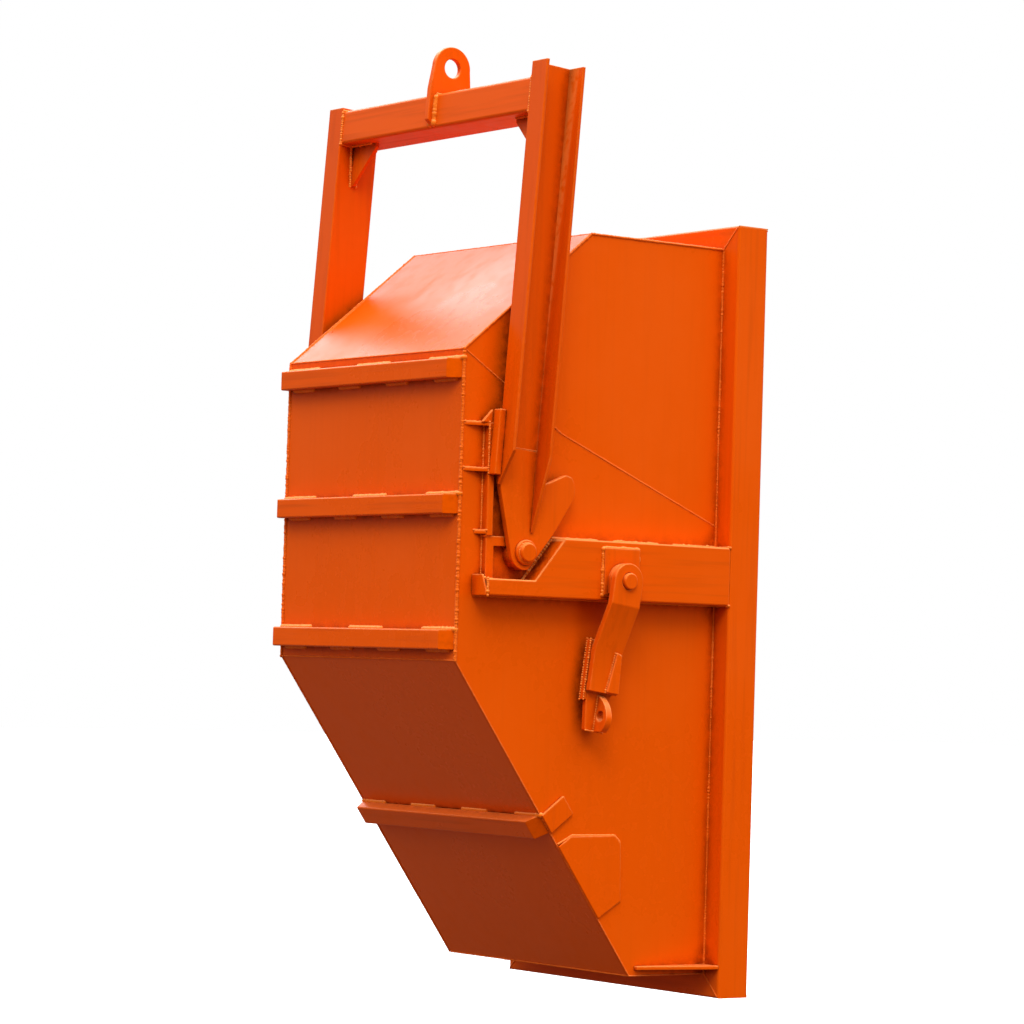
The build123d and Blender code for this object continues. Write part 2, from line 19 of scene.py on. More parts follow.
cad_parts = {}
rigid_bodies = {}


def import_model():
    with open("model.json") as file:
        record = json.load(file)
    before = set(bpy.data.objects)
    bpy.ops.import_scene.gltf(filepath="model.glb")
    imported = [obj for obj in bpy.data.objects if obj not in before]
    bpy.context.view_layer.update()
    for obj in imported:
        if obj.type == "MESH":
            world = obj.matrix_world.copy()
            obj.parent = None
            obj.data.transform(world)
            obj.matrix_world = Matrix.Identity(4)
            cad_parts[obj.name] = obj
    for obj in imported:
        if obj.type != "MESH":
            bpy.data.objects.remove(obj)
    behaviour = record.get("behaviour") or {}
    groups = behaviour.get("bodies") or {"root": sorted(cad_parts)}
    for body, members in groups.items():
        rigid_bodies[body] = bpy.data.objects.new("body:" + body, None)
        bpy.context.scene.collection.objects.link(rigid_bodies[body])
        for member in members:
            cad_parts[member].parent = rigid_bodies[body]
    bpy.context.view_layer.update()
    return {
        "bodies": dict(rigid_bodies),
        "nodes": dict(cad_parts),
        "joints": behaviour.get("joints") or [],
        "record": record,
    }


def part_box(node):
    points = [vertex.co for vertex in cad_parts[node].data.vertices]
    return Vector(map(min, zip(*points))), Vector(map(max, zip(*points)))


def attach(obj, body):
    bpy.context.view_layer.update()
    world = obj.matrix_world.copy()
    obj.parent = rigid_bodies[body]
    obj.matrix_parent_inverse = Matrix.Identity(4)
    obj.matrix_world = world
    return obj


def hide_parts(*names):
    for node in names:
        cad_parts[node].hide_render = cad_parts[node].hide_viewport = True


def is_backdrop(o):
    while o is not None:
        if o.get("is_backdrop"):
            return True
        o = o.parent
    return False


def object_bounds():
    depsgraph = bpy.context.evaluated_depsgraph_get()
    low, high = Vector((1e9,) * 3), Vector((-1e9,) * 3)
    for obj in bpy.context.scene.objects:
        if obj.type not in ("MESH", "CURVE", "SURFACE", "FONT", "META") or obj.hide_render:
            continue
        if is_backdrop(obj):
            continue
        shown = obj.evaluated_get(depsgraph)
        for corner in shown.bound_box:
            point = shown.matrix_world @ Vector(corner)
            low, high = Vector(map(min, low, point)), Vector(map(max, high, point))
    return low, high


LOG = logging.getLogger("lifting_hopper")
MM = 0.001
Point = tuple[float, float, float]
Span = tuple[float, float]
Colour = tuple[float, float, float, float]
Tree = bpy.types.NodeTree
Socket = bpy.types.NodeSocket
Material = bpy.types.Material


class Side(Enum):
    """The two sides of the hopper, with the sign of their X."""

    RIGHT = 1
    LEFT = -1

    @property
    def word(self) -> str:
        """The side's name as the CAD nodes spell it."""
        return self.name.lower()


class Axis(Enum):
    """The way a bar runs, as a unit vector."""

    X = (1.0, 0.0, 0.0)
    Y = (0.0, 1.0, 0.0)
    Z = (0.0, 0.0, 1.0)


# ---- shared helpers ----
def socket_label(name: str) -> str:
    """The node socket's label for a value's name in this file."""
    return name.replace("_", " ").title()


def put_in_scene(name: str, data: bpy.types.ID) -> bpy.types.Object:
    """Make an object and link it to the scene.

    Args:
        name: the object's name.
        data: its mesh, light or camera.

    Returns:
        The object.
    """
    thing = bpy.data.objects.new(name, data)
    bpy.context.scene.collection.objects.link(thing)
    return thing


def leaning(
    low: Vector, high: Vector, lean: float, x: float, across: float, up: float,
) -> Point:
    """A point given in a frame that leans about X, with its origin in the middle of a box.

    Args:
        low: the box's lowest corner.
        high: its highest corner.
        lean: its lean in degrees, top towards the mouth.
        x: the point's own X.
        across: distance along the leaning frame's Y.
        up: distance along the leaning frame's Z.

    Returns:
        The point in the CAD frame.
    """
    angle = math.radians(lean)
    y = (low.y + high.y) / 2 + across * math.cos(angle) + up * math.sin(angle)
    z = (low.z + high.z) / 2 - across * math.sin(angle) + up * math.cos(angle)
    return x, y, z


class Wiring:
    """Shorthand for adding nodes to one tree."""

    def __init__(self, tree: Tree) -> None:
        """Keep the tree."""
        self.tree = tree
        self.link = tree.links.new

    def node(self, kind: str, **settings: object) -> bpy.types.Node:
        """Add a node.

        Args:
            kind: the node's type.
            settings: values for the node's properties.

        Returns:
            The node.
        """
        node = self.tree.nodes.new(kind)
        for key, value in settings.items():
            setattr(node, key, value)
        return node

    def feed(self, socket: Socket, value: object) -> None:
        """Set a socket to a number, or link another socket to it.

        Args:
            socket: the input socket.
            value: a number or an output socket.
        """
        if isinstance(value, (int, float)):
            socket.default_value = value
        else:
            self.link(value, socket)

    def math(self, operation: str, a: object, b: object) -> Socket:
        """Add a Math node.

        Args:
            operation: what it does.
            a: first value, a number or a socket.
            b: second value, a number or a socket.

        Returns:
            The result's socket.
        """
        node = self.node("ShaderNodeMath", operation=operation)
        for socket, value in zip(node.inputs, (a, b)):
            self.feed(socket, value)
        return node.outputs[0]

    def noise(self, vector: Socket, scale: object, detail: float) -> Socket:
        """Add a Noise Texture.

        Args:
            vector: the coordinate socket.
            scale: features per metre, a number or a socket.
            detail: how many octaves it has.

        Returns:
            The noise value's socket.
        """
        node = self.node("ShaderNodeTexNoise")
        node.inputs["Detail"].default_value = detail
        self.link(vector, node.inputs["Vector"])
        self.feed(node.inputs["Scale"], scale)
        return node.outputs["Fac"]

    def remap(self, value: Socket, span: Span) -> Socket:
        """Stretch a span of values to 0..1 with a smooth step.

        Args:
            value: the socket to remap.
            span: the values that become 0 and 1.

        Returns:
            The remapped socket.
        """
        node = self.node("ShaderNodeMapRange", interpolation_type="SMOOTHSTEP")
        node.inputs["From Min"].default_value, node.inputs["From Max"].default_value = span
        self.link(value, node.inputs["Value"])
        return node.outputs["Result"]

    def height_of(self, vector: Socket) -> Socket:
        """The Z part of a vector socket."""
        split = self.node("ShaderNodeSeparateXYZ")
        self.link(vector, split.inputs["Vector"])
        return split.outputs["Z"]

    def mix(self, factor: Socket, a: Socket, b: Socket) -> Socket:
        """Add a colour Mix node.

        Args:
            factor: the mask's socket.
            a: colour where the mask is 0.
            b: colour where the mask is 1.

        Returns:
            The mixed colour's socket.
        """
        node = self.node("ShaderNodeMix", data_type="RGBA")
        for label, socket in (("Factor", factor), ("A", a), ("B", b)):
            self.link(socket, node.inputs[label])
        return node.outputs["Result"]


# ---- shader groups ----
class ShaderGroups:
    """Node groups that the enamel finishes share. Noise scales are in features per metre."""

    # Painted highlight on the edges: rounding radius, bend span, noise breakup and upward lean of
    # its mask.
    wear_radius = 0.006
    wear_bend: Span = (0.01, 0.10)
    wear_breakup: Span = (0.25, 0.55)
    wear_skyward: Span = (-0.25, 0.65)
    cloud_scales: Span = (1.7, 26.0)
    cloud_shares: Span = (0.75, 0.25)
    broad_cloud: Span = (0.38, 0.68)
    fine_cloud: Span = (0.40, 0.72)
    streak_span: Span = (0.45, 0.75)
    # Painted shade in the hollows: ambient occlusion reach and span, broken up by spots of noise.
    hollow_reach = 0.055
    hollow_span: Span = (0.22, 0.75)
    spot_scale = 45.0
    spot_span: Span = (0.25, 0.65)
    least_spot = 0.4
    # Painted highlight on faces that look up: span of the normal's height that it covers.
    chalk_span: Span = (0.05, 0.75)
    middle_cloud = 0.4
    cloud_dulling = 0.22
    dirt_dulling = 0.3
    peel_scale = 260.0
    brush_scale = 3.0

    def __init__(self) -> None:
        """Build each group once."""
        self.edge_wear = self._edge_wear()
        self.weathering = self._weathering()
        self.relief = self._relief()

    @staticmethod
    def _new(name: str, inputs: dict[str, object], outputs: dict[str, str]) -> tuple:
        """Make an empty group.

        Args:
            name: the group's name.
            inputs: each named input's default: None for a vector, four numbers for a colour,
                one number for a value.
            outputs: socket type for each named output.

        Returns:
            The group's wiring, the sockets given to it and the sockets it gives out.
        """
        tree = bpy.data.node_groups.new(name, "ShaderNodeTree")
        kinds = {type(None): "NodeSocketVector", tuple: "NodeSocketColor", float: "NodeSocketFloat"}
        for label, value in inputs.items():
            socket = tree.interface.new_socket(
                label, in_out="INPUT", socket_type=kinds[type(value)])
            if value is not None:
                socket.default_value = value
        for label, kind in outputs.items():
            tree.interface.new_socket(label, in_out="OUTPUT", socket_type=kind)
        wires = Wiring(tree)
        return wires, wires.node("NodeGroupInput").outputs, wires.node("NodeGroupOutput").inputs

    def _edge_wear(self) -> Tree:
        """Mask of painted highlights on the edges: where the rounded normal leaves the flat one and
        looks up.

        Returns:
            The group.
        """
        wires, given, out = self._new(
            "Edge Wear",
            {"Vector": None, "Radius": self.wear_radius, "Breakup Scale": 60.0},
            {"Mask": "NodeSocketFloat"})
        # Painted highlight: edges where the rounded normal bends away, stronger where they look up,
        # broken up by noise.
        bevel = wires.node("ShaderNodeBevel", samples=4)
        wires.link(given["Radius"], bevel.inputs["Radius"])
        geometry = wires.node("ShaderNodeNewGeometry")
        dot = wires.node("ShaderNodeVectorMath", operation="DOT_PRODUCT")
        wires.link(bevel.outputs["Normal"], dot.inputs[0])
        wires.link(geometry.outputs["True Normal"], dot.inputs[1])
        edge = wires.remap(wires.math("SUBTRACT", 1.0, dot.outputs["Value"]), self.wear_bend)
        breakup_noise = wires.noise(given["Vector"], given["Breakup Scale"], 3.0)
        broken_highlight = wires.math("MULTIPLY", edge, wires.remap(breakup_noise, self.wear_breakup))
        skyward = wires.remap(wires.height_of(bevel.outputs["Normal"]), self.wear_skyward)
        wires.link(wires.math("MULTIPLY", broken_highlight, skyward), out["Mask"])
        return wires.tree

    def _weathering(self) -> Tree:
        """Colour and roughness of used enamel.

        It has mottle and brush streaks, painted shade in the hollows, a painted highlight on what
        looks up, and painted highlights on the edges.

        Returns:
            The group.
        """
        wires, given, out = self._new(
            "Enamel Weathering",
            {
                "Vector": None,
                "Streak Vector": None,
                "Paint": (0.8, 0.1, 0.0, 1.0),
                "Faded": (0.8, 0.2, 0.05, 1.0),
                # Colour of the brush streaks of dirt and of the painted shade in the hollows.
                "Grime": (0.2, 0.02, 0.0, 1.0),
                "Edge": (0.9, 0.3, 0.1, 1.0),
                "Mottle": 0.3,
                "Streaks": 0.2,
                "Grime Amount": 0.5,
                "Edge Amount": 0.5,
                "Chalk Amount": 0.3,
                "Roughness": 0.4,
            },
            {"Color": "NodeSocketColor", "Roughness": "NodeSocketFloat"})
        add, multiply = "ADD", "MULTIPLY"
        vector = given["Vector"]
        broad = wires.remap(wires.noise(vector, self.cloud_scales[0], 5.0), self.broad_cloud)
        fine = wires.remap(wires.noise(vector, self.cloud_scales[1], 4.0), self.fine_cloud)
        cloud = wires.math(
            add, wires.math(multiply, broad, self.cloud_shares[0]),
            wires.math(multiply, fine, self.cloud_shares[1]))
        fade = wires.math(multiply, cloud, given["Mottle"])
        colour = wires.mix(fade, given["Paint"], given["Faded"])

        streak = wires.remap(wires.noise(given["Streak Vector"], 1.0, 4.0), self.streak_span)
        streak = wires.math(multiply, streak, given["Streaks"])
        colour = wires.mix(streak, colour, given["Grime"])

        # Painted shade: ambient occlusion darkens the hollows towards the dirt-and-shade colour,
        # broken up by spots of noise.
        hollow = wires.node("ShaderNodeAmbientOcclusion", samples=6)
        hollow.inputs["Distance"].default_value = self.hollow_reach
        shade = wires.remap(
            wires.math("SUBTRACT", 1.0, hollow.outputs["AO"]), self.hollow_span)
        spots = wires.remap(wires.noise(vector, self.spot_scale, 3.0), self.spot_span)
        shade = wires.math(multiply, shade, wires.math(add, spots, self.least_spot))
        shade = wires.math(multiply, shade, given["Grime Amount"])
        colour = wires.mix(shade, colour, given["Grime"])

        # Painted highlight: faces that look up are mixed towards the pale edge colour.
        geometry = wires.node("ShaderNodeNewGeometry")
        skyward_highlight = wires.remap(wires.height_of(geometry.outputs["Normal"]), self.chalk_span)
        skyward_highlight = wires.math(multiply, skyward_highlight, given["Chalk Amount"])
        colour = wires.mix(skyward_highlight, colour, given["Edge"])

        # Painted highlight on the edges, mixed towards the pale edge colour.
        highlight = wires.node("ShaderNodeGroup", node_tree=self.edge_wear)
        wires.link(vector, highlight.inputs["Vector"])
        pale = wires.math(multiply, highlight.outputs["Mask"], given["Edge Amount"])
        wires.link(wires.mix(pale, colour, given["Edge"]), out["Color"])

        dull = wires.math(
            multiply, wires.math("SUBTRACT", cloud, self.middle_cloud), self.cloud_dulling)
        rough = wires.math(add, given["Roughness"], dull)
        for dirt in (streak, shade):
            rough = wires.math(add, rough, wires.math(multiply, dirt, self.dirt_dulling))
        wires.link(rough, out["Roughness"])
        return wires.tree

    def _relief(self) -> Tree:
        """Height in metres: orange peel, brush marks and the slow waves of thin welded plate.

        Returns:
            The group.
        """
        wires, given, out = self._new(
            "Enamel Relief",
            {
                "Vector": None,
                "Streak Vector": None,
                "Peel Depth": 0.00002,
                "Brush Depth": 0.00002,
                "Wave Scale": 3.0,
                "Wave Depth": 0.001,
            },
            {"Height": "NodeSocketFloat"})
        height: object = 0.0
        for vector, scale, detail, depth in (
            ("Vector", self.peel_scale, 2.0, "Peel Depth"),
            ("Streak Vector", self.brush_scale, 3.0, "Brush Depth"),
            ("Vector", given["Wave Scale"], 1.0, "Wave Depth"),
        ):
            bumps = wires.noise(given[vector], scale, detail)
            height = wires.math("ADD", wires.math("MULTIPLY", bumps, given[depth]), height)
        wires.link(height, out["Height"])
        return wires.tree


# ---- finishes ----
@dataclass(frozen=True)
class EnamelFinish:
    """Orange enamel on one kind of steel piece."""

    name: str
    paint: Colour = (0.80, 0.094, 0.0, 1.0)
    faded: Colour = (0.82, 0.110, 0.003, 1.0)
    # Dirt-and-shade colour: brush streaks of dirt and painted shade in the hollows.
    grime: Colour = (0.17, 0.012, 0.0005, 1.0)
    # Pale colour of the painted highlights on edges and on faces that look up.
    edge: Colour = (0.95, 0.33, 0.085, 1.0)
    sheen: Colour = (1.0, 0.16, 0.0, 1.0)
    mottle: float = 0.35
    streaks: float = 0.03
    streak_axis: Axis = Axis.Z
    # Strength of the painted shade in the hollows.
    grime_amount: float = 0.75
    # Strengths of the painted highlights on edges and on faces that look up.
    edge_amount: float = 0.85
    chalk_amount: float = 0.0
    roughness: float = 0.33
    peel_depth: float = 0.000015
    brush_depth: float = 0.000003
    wave_scale: float = 3.2
    wave_depth: float = 0.0016

    weathering_values = (
        "paint", "faded", "grime", "edge", "mottle", "streaks", "grime_amount", "edge_amount",
        "chalk_amount", "roughness")
    relief_values = ("peel_depth", "brush_depth", "wave_scale", "wave_depth")

    def _stretched(self) -> Point:
        """Scale that draws the brush streaks out along the finish's axis."""
        along, across = 2.5, 60.0
        return tuple(along if part else across for part in self.streak_axis.value)

    def build(self, groups: ShaderGroups) -> Material:
        """Make the material.

        Args:
            groups: the shared shader groups.

        Returns:
            The new material.
        """
        material = bpy.data.materials.new(self.name)
        material.use_nodes = True
        wires = Wiring(material.node_tree)
        shader = wires.tree.nodes["Principled BSDF"]
        shader.inputs["IOR"].default_value = 1.5
        shader.inputs["Specular Tint"].default_value = self.sheen
        coordinate = wires.node("ShaderNodeTexCoord").outputs["Object"]
        stretch = wires.node("ShaderNodeMapping")
        stretch.inputs["Scale"].default_value = self._stretched()
        wires.link(coordinate, stretch.inputs["Vector"])

        effects = []
        for group, values in (
            (groups.weathering, self.weathering_values), (groups.relief, self.relief_values),
        ):
            effect = wires.node("ShaderNodeGroup", node_tree=group)
            wires.link(coordinate, effect.inputs["Vector"])
            wires.link(stretch.outputs["Vector"], effect.inputs["Streak Vector"])
            for value in values:
                effect.inputs[socket_label(value)].default_value = getattr(self, value)
            effects.append(effect)
        weathered_and_lit, relief = effects
        bump = wires.node("ShaderNodeBump")
        bump.inputs["Strength"].default_value = 1.0
        bump.inputs["Distance"].default_value = 1.0
        wires.link(relief.outputs["Height"], bump.inputs["Height"])
        wires.link(weathered_and_lit.outputs["Color"], shader.inputs["Base Color"])
        wires.link(weathered_and_lit.outputs["Roughness"], shader.inputs["Roughness"])
        wires.link(bump.outputs["Normal"], shader.inputs["Normal"])
        return material


class Finishes:
    """Every finish of the hopper, built once."""

    def __init__(self) -> None:
        """Build the shader groups and the materials."""
        groups = ShaderGroups()
        # Skyward highlight amounts paint a highlight on faces that look up; edge highlight amounts
        # paint one on edges.
        self.plate = EnamelFinish("plate_enamel").build(groups)
        self.rib = EnamelFinish(
            "rib_enamel", streaks=0.20, chalk_amount=0.2, streak_axis=Axis.X, mottle=0.5,
            wave_depth=0.0004).build(groups)
        self.upright = EnamelFinish(
            "upright_enamel", streaks=0.12, chalk_amount=0.3, wave_depth=0.0005).build(groups)
        # Painted shade: the arms get a darker copy of the orange enamel, for their shaded channels
        # and faces.
        self.arm = EnamelFinish(
            "arm_enamel", paint=(0.72, 0.080, 0.0, 1.0), faded=(0.76, 0.094, 0.002, 1.0),
            streaks=0.12, chalk_amount=0.3, wave_depth=0.0005).build(groups)
        self.beam = EnamelFinish(
            "beam_enamel", streaks=0.16, chalk_amount=0.7, streak_axis=Axis.Y,
            wave_depth=0.0004).build(groups)
        self.fitting = EnamelFinish(
            "fitting_enamel", streaks=0.12, edge_amount=0.9, chalk_amount=0.4,
            wave_depth=0.0002).build(groups)
        bead = {
            "streaks": 0.0, "edge_amount": 0.0, "peel_depth": 0.00006, "brush_depth": 0.0,
            "wave_depth": 0.0,
        }
        # Painted highlight: the beads' paler paint and strong skyward highlight stand in for light
        # caught on their rounded tops.
        self.weld = EnamelFinish(
            "weld_enamel", paint=(0.86, 0.15, 0.006, 1.0), faded=(0.92, 0.25, 0.03, 1.0),
            mottle=0.8, grime_amount=0.2, chalk_amount=0.9, roughness=0.36,
            **bead).build(groups)
        self.seam = EnamelFinish(
            "seam_enamel", paint=(0.82, 0.115, 0.003, 1.0), faded=(0.88, 0.19, 0.025, 1.0),
            mottle=0.7, grime_amount=0.3, chalk_amount=0.3, roughness=0.40,
            **bead).build(groups)


# ---- pieces from the frame ----
class Workshop:
    """Makes finished pieces around the CAD nodes."""

    merge_distance = 0.02 * MM
    flat_angle = math.radians(0.8)
    along_cosine = 0.99
    level_cosine = 0.999
    rounding_segments = 3
    face_weight = 100

    def __init__(self, frame: dict) -> None:
        """Keep the frame and find each node's body.
        """
        self.nodes = frame["nodes"]
        bodies = frame["record"]["behaviour"]["bodies"]
        self.body_of = {node: body for body, names in bodies.items() for node in names}

    def soften(
        self, node: str, material: Material, radius: float, long_radius: float = 0.0,
        outwards: Vector = Vector(), corner_angle: float = math.radians(30),
    ) -> bpy.types.Object:
        """Stand a copy of a CAD node, with its corners rounded, in the node's place.

        Args:
            node: the CAD node's name.
            material: the copy's finish.
            radius: rounding of an ordinary corner.
            long_radius: rounding of the corners along the piece's longest side; 0 for the same.
            outwards: if given, the long rounding is kept to the corners on this side of the piece.
            corner_angle: a sharper bend than this is a corner.

        Returns:
            The finished piece.
        """
        shape = bmesh.new()
        shape.from_mesh(self.nodes[node].data)
        bmesh.ops.remove_doubles(shape, verts=shape.verts, dist=self.merge_distance)
        bmesh.ops.dissolve_limit(
            shape, angle_limit=self.flat_angle, verts=shape.verts, edges=shape.edges)
        low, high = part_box(node)
        size = high - low
        longest = Vector([1.0 if size[i] == max(size) else 0.0 for i in range(3)])
        middle = (low + high) / 2
        widest = max(radius, long_radius)
        weights = shape.edges.layers.float.new("bevel_weight_edge")
        for face in shape.faces:
            face.smooth = True
        for edge in shape.edges:
            if len(edge.link_faces) != 2 or edge.calc_face_angle() < corner_angle:
                continue
            if not edge.is_convex:
                edge.smooth = False
                continue
            first, last = (vert.co for vert in edge.verts)
            along = abs((last - first).normalized().dot(longest)) > self.along_cosine
            outer = ((first + last) / 2 - middle).dot(outwards) >= 0.0
            edge[weights] = (long_radius if along and outer and long_radius else radius) / widest
        mesh = bpy.data.meshes.new(node)
        shape.to_mesh(mesh)
        shape.free()
        piece = put_in_scene(f"{node}_finished", mesh)
        rounding = piece.modifiers.new("rounding", "BEVEL")
        rounding.limit_method = "WEIGHT"
        rounding.width = widest
        rounding.segments = self.rounding_segments
        flatten = piece.modifiers.new("flatten", "WEIGHTED_NORMAL")
        flatten.mode = "FACE_AREA"
        flatten.weight = self.face_weight
        flatten.keep_sharp = True
        self.apply(piece)
        piece.data.materials.clear()
        piece.data.materials.append(material)
        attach(piece, self.body_of[node])
        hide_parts(node)
        LOG.info("%s: %d faces", piece.name, len(piece.data.polygons))
        return piece

    def ledges(self, node: str) -> list[tuple[float, float]]:
        """Where a CAD node looks straight up.

        Args:
            node: the CAD node's name.

        Returns:
            For each height, lowest first, the height and the least Y of its faces.
        """
        mesh = self.nodes[node].data
        reach: dict[float, float] = {}
        for face in mesh.polygons:
            if face.normal.z > self.level_cosine:
                height = round(face.center.z, 4)
                rear = min(mesh.vertices[i].co.y for i in face.vertices)
                reach[height] = min(rear, reach.get(height, rear))
        return sorted(reach.items())

    @staticmethod
    def apply(piece: bpy.types.Object) -> None:
        """Turn a piece's modifiers into plain mesh.

        Args:
            piece: the object whose modifiers are applied.
        """
        graph = bpy.context.evaluated_depsgraph_get()
        final = bpy.data.meshes.new_from_object(piece.evaluated_get(graph))
        piece.modifiers.clear()
        piece.data = final


# ---- welds ----
@dataclass(frozen=True)
class Weld:
    """One run of weld through some points, with its leg in metres."""

    points: tuple[Point, ...]
    leg: float


class BeadTree:
    """Geometry Nodes tree that lays ripples of weld metal along polylines."""

    inputs = {
        "Ripple Pitch": 0.006,
        "Wobble": 0.18,
        "Blob Growth": 0.4,
        "Jitter": 0.14,
    }
    blob_rarity = 7.0
    bead_segments = 8
    bead_rings = 6

    def __init__(self) -> None:
        """Build the tree."""
        self.tree = bpy.data.node_groups.new("Weld Bead", "GeometryNodeTree")
        self.wires = Wiring(self.tree)
        new_socket = self.tree.interface.new_socket
        new_socket("Geometry", in_out="INPUT", socket_type="NodeSocketGeometry")
        for label, value in self.inputs.items():
            socket = new_socket(label, in_out="INPUT", socket_type="NodeSocketFloat")
            socket.default_value = value
        new_socket("Seed", in_out="INPUT", socket_type="NodeSocketInt")
        new_socket("Material", in_out="INPUT", socket_type="NodeSocketMaterial")
        new_socket("Geometry", in_out="OUTPUT", socket_type="NodeSocketGeometry")
        self.given = self.wires.node("NodeGroupInput").outputs
        self._build()

    def _random(self, low: object, high: object, kind: str, turn: int) -> Socket:
        """Add a Random Value node.

        Args:
            low: least value.
            high: greatest value.
            kind: the node's data type.
            turn: added to the seed, so that the node has its own numbers.

        Returns:
            The random value's socket.
        """
        node = self.wires.node("FunctionNodeRandomValue", data_type=kind)
        slot = 0 if kind == "FLOAT_VECTOR" else 1
        for label, value in (("Min", low), ("Max", high)):
            matching = [socket for socket in node.inputs if socket.name == label]
            matching[slot].default_value = value
        seed = self.wires.math("ADD", self.given["Seed"], turn)
        self.wires.link(seed, node.inputs["Seed"])
        return [socket for socket in node.outputs if socket.name == "Value"][slot]

    def _bead_size(self) -> Socket:
        """Each bead's radius: the leg, a little wobble, and a few beads that swell to a blob.

        Returns:
            The radius's socket.
        """
        wires = self.wires
        leg = wires.node("GeometryNodeInputNamedAttribute", data_type="FLOAT")
        leg.inputs["Name"].default_value = "leg"
        wobble = wires.math(
            "MULTIPLY", self._random(-0.5, 0.5, "FLOAT", 0), self.given["Wobble"])
        rare = wires.math("POWER", self._random(0.0, 1.0, "FLOAT", 1), self.blob_rarity)
        blob = wires.math("MULTIPLY", rare, self.given["Blob Growth"])
        swell = wires.math("ADD", wires.math("ADD", wobble, blob), 1.0)
        return wires.math("MULTIPLY", swell, leg.outputs["Attribute"])

    def _build(self) -> None:
        """Beads of metal along the curve, jittered, made real and given the finish."""
        node, link, given = self.wires.node, self.wires.link, self.given
        curve = node("GeometryNodeMeshToCurve")
        link(given["Geometry"], curve.inputs["Mesh"])
        points = node("GeometryNodeCurveToPoints", mode="LENGTH")
        link(curve.outputs["Curve"], points.inputs["Curve"])
        link(given["Ripple Pitch"], points.inputs["Length"])
        size = self._bead_size()
        shake = node("ShaderNodeVectorMath", operation="SCALE")
        link(self._random((-1.0,) * 3, (1.0,) * 3, "FLOAT_VECTOR", 2), shake.inputs[0])
        link(self.wires.math("MULTIPLY", size, given["Jitter"]), shake.inputs["Scale"])
        place = node("GeometryNodeSetPosition")
        link(points.outputs["Points"], place.inputs["Geometry"])
        link(shake.outputs["Vector"], place.inputs["Offset"])
        bead = node("GeometryNodeMeshUVSphere")
        bead.inputs["Segments"].default_value = self.bead_segments
        bead.inputs["Rings"].default_value = self.bead_rings
        bead.inputs["Radius"].default_value = 1.0
        lay = node("GeometryNodeInstanceOnPoints")
        link(place.outputs["Geometry"], lay.inputs["Points"])
        link(bead.outputs["Mesh"], lay.inputs["Instance"])
        link(points.outputs["Rotation"], lay.inputs["Rotation"])
        link(size, lay.inputs["Scale"])
        real = node("GeometryNodeRealizeInstances")
        link(lay.outputs["Instances"], real.inputs["Geometry"])
        smooth = node("GeometryNodeSetShadeSmooth")
        link(real.outputs["Geometry"], smooth.inputs["Geometry"])
        paint = node("GeometryNodeSetMaterial")
        link(smooth.outputs["Geometry"], paint.inputs["Geometry"])
        link(given["Material"], paint.inputs["Material"])
        link(paint.outputs["Geometry"], node("NodeGroupOutput").inputs["Geometry"])

    def socket_id(self, label: str) -> str:
        """Find a named input.

        Args:
            label: the input's name.

        Returns:
            Its identifier.
        """
        for item in self.tree.interface.items_tree:
            if item.item_type == "SOCKET" and item.in_out == "INPUT" and item.name == label:
                return item.identifier
        raise KeyError(label)

    def lay(
        self, name: str, body: str, welds: Sequence[Weld], material: Material, seed: int,
        **settings: float,
    ) -> bpy.types.Object:
        """Make one piece of weld metal that follows every given run.

        Args:
            name: the piece's name.
            body: the CAD body it rides on.
            welds: the runs of weld.
            material: the finish.
            seed: seed of the random sizes.
            settings: values for the tree's named inputs, where they differ.

        Returns:
            The finished piece.
        """
        corners: list[Point] = []
        edges: list[tuple[int, int]] = []
        legs: list[float] = []
        for weld in welds:
            first = len(corners)
            corners.extend(weld.points)
            legs.extend([weld.leg] * len(weld.points))
            edges.extend((first + i, first + i + 1) for i in range(len(weld.points) - 1))
        mesh = bpy.data.meshes.new(name)
        mesh.from_pydata(corners, edges, [])
        mesh.attributes.new("leg", "FLOAT", "POINT").data.foreach_set("value", legs)
        piece = put_in_scene(name, mesh)
        laying = piece.modifiers.new("beads", "NODES")
        laying.node_group = self.tree
        for setting, value in {"seed": seed, "material": material, **settings}.items():
            laying[self.socket_id(socket_label(setting))] = value
        Workshop.apply(piece)
        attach(piece, body)
        LOG.info("%s: %d runs, %d faces", name, len(welds), len(piece.data.polygons))
        return piece


def stitches(start: Point, end: Point, count: int, length: float, leg: float) -> list[Weld]:
    """Short runs of weld spread over a joint, the first and last at its two ends.

    Args:
        start: where the joint starts.
        end: where the joint ends.
        count: how many runs.
        length: length of each run.
        leg: the weld's leg.

    Returns:
        The runs.
    """
    a, b = Vector(start), Vector(end)
    way = (b - a).normalized()
    pitch = ((b - a).length - length) / (count - 1)
    lows = [a + way * (i * pitch) for i in range(count)]
    return [Weld((tuple(low), tuple(low + way * length)), leg) for low in lows]


def ring(centre: Vector, radius: float, leg: float, turns: int = 28) -> Weld:
    """A closed run round a pin whose axis is X.

    Args:
        centre: the middle of the ring.
        radius: its radius.
        leg: the weld's leg.
        turns: how many straight runs make the ring.

    Returns:
        The run.
    """
    angles = [math.tau * i / turns for i in range(turns + 1)]
    return Weld(tuple(
        (centre.x, centre.y + radius * math.cos(a), centre.z + radius * math.sin(a))
        for a in angles), leg)


def mirrored(welds: Iterable[Weld]) -> list[Weld]:
    """The same runs on the other side of the middle plane."""
    return [Weld(tuple((-x, y, z) for x, y, z in weld.points), weld.leg) for weld in welds]


def on_both_sides(welds: Iterable[Weld]) -> list[Weld]:
    """The given runs and their mirror images."""
    return [*welds, *mirrored(welds)]


# ---- sub-assemblies ----
@dataclass
class SubAssembly:
    """What every sub-assembly is made with."""

    shop: Workshop
    finishes: Finishes
    beads: BeadTree


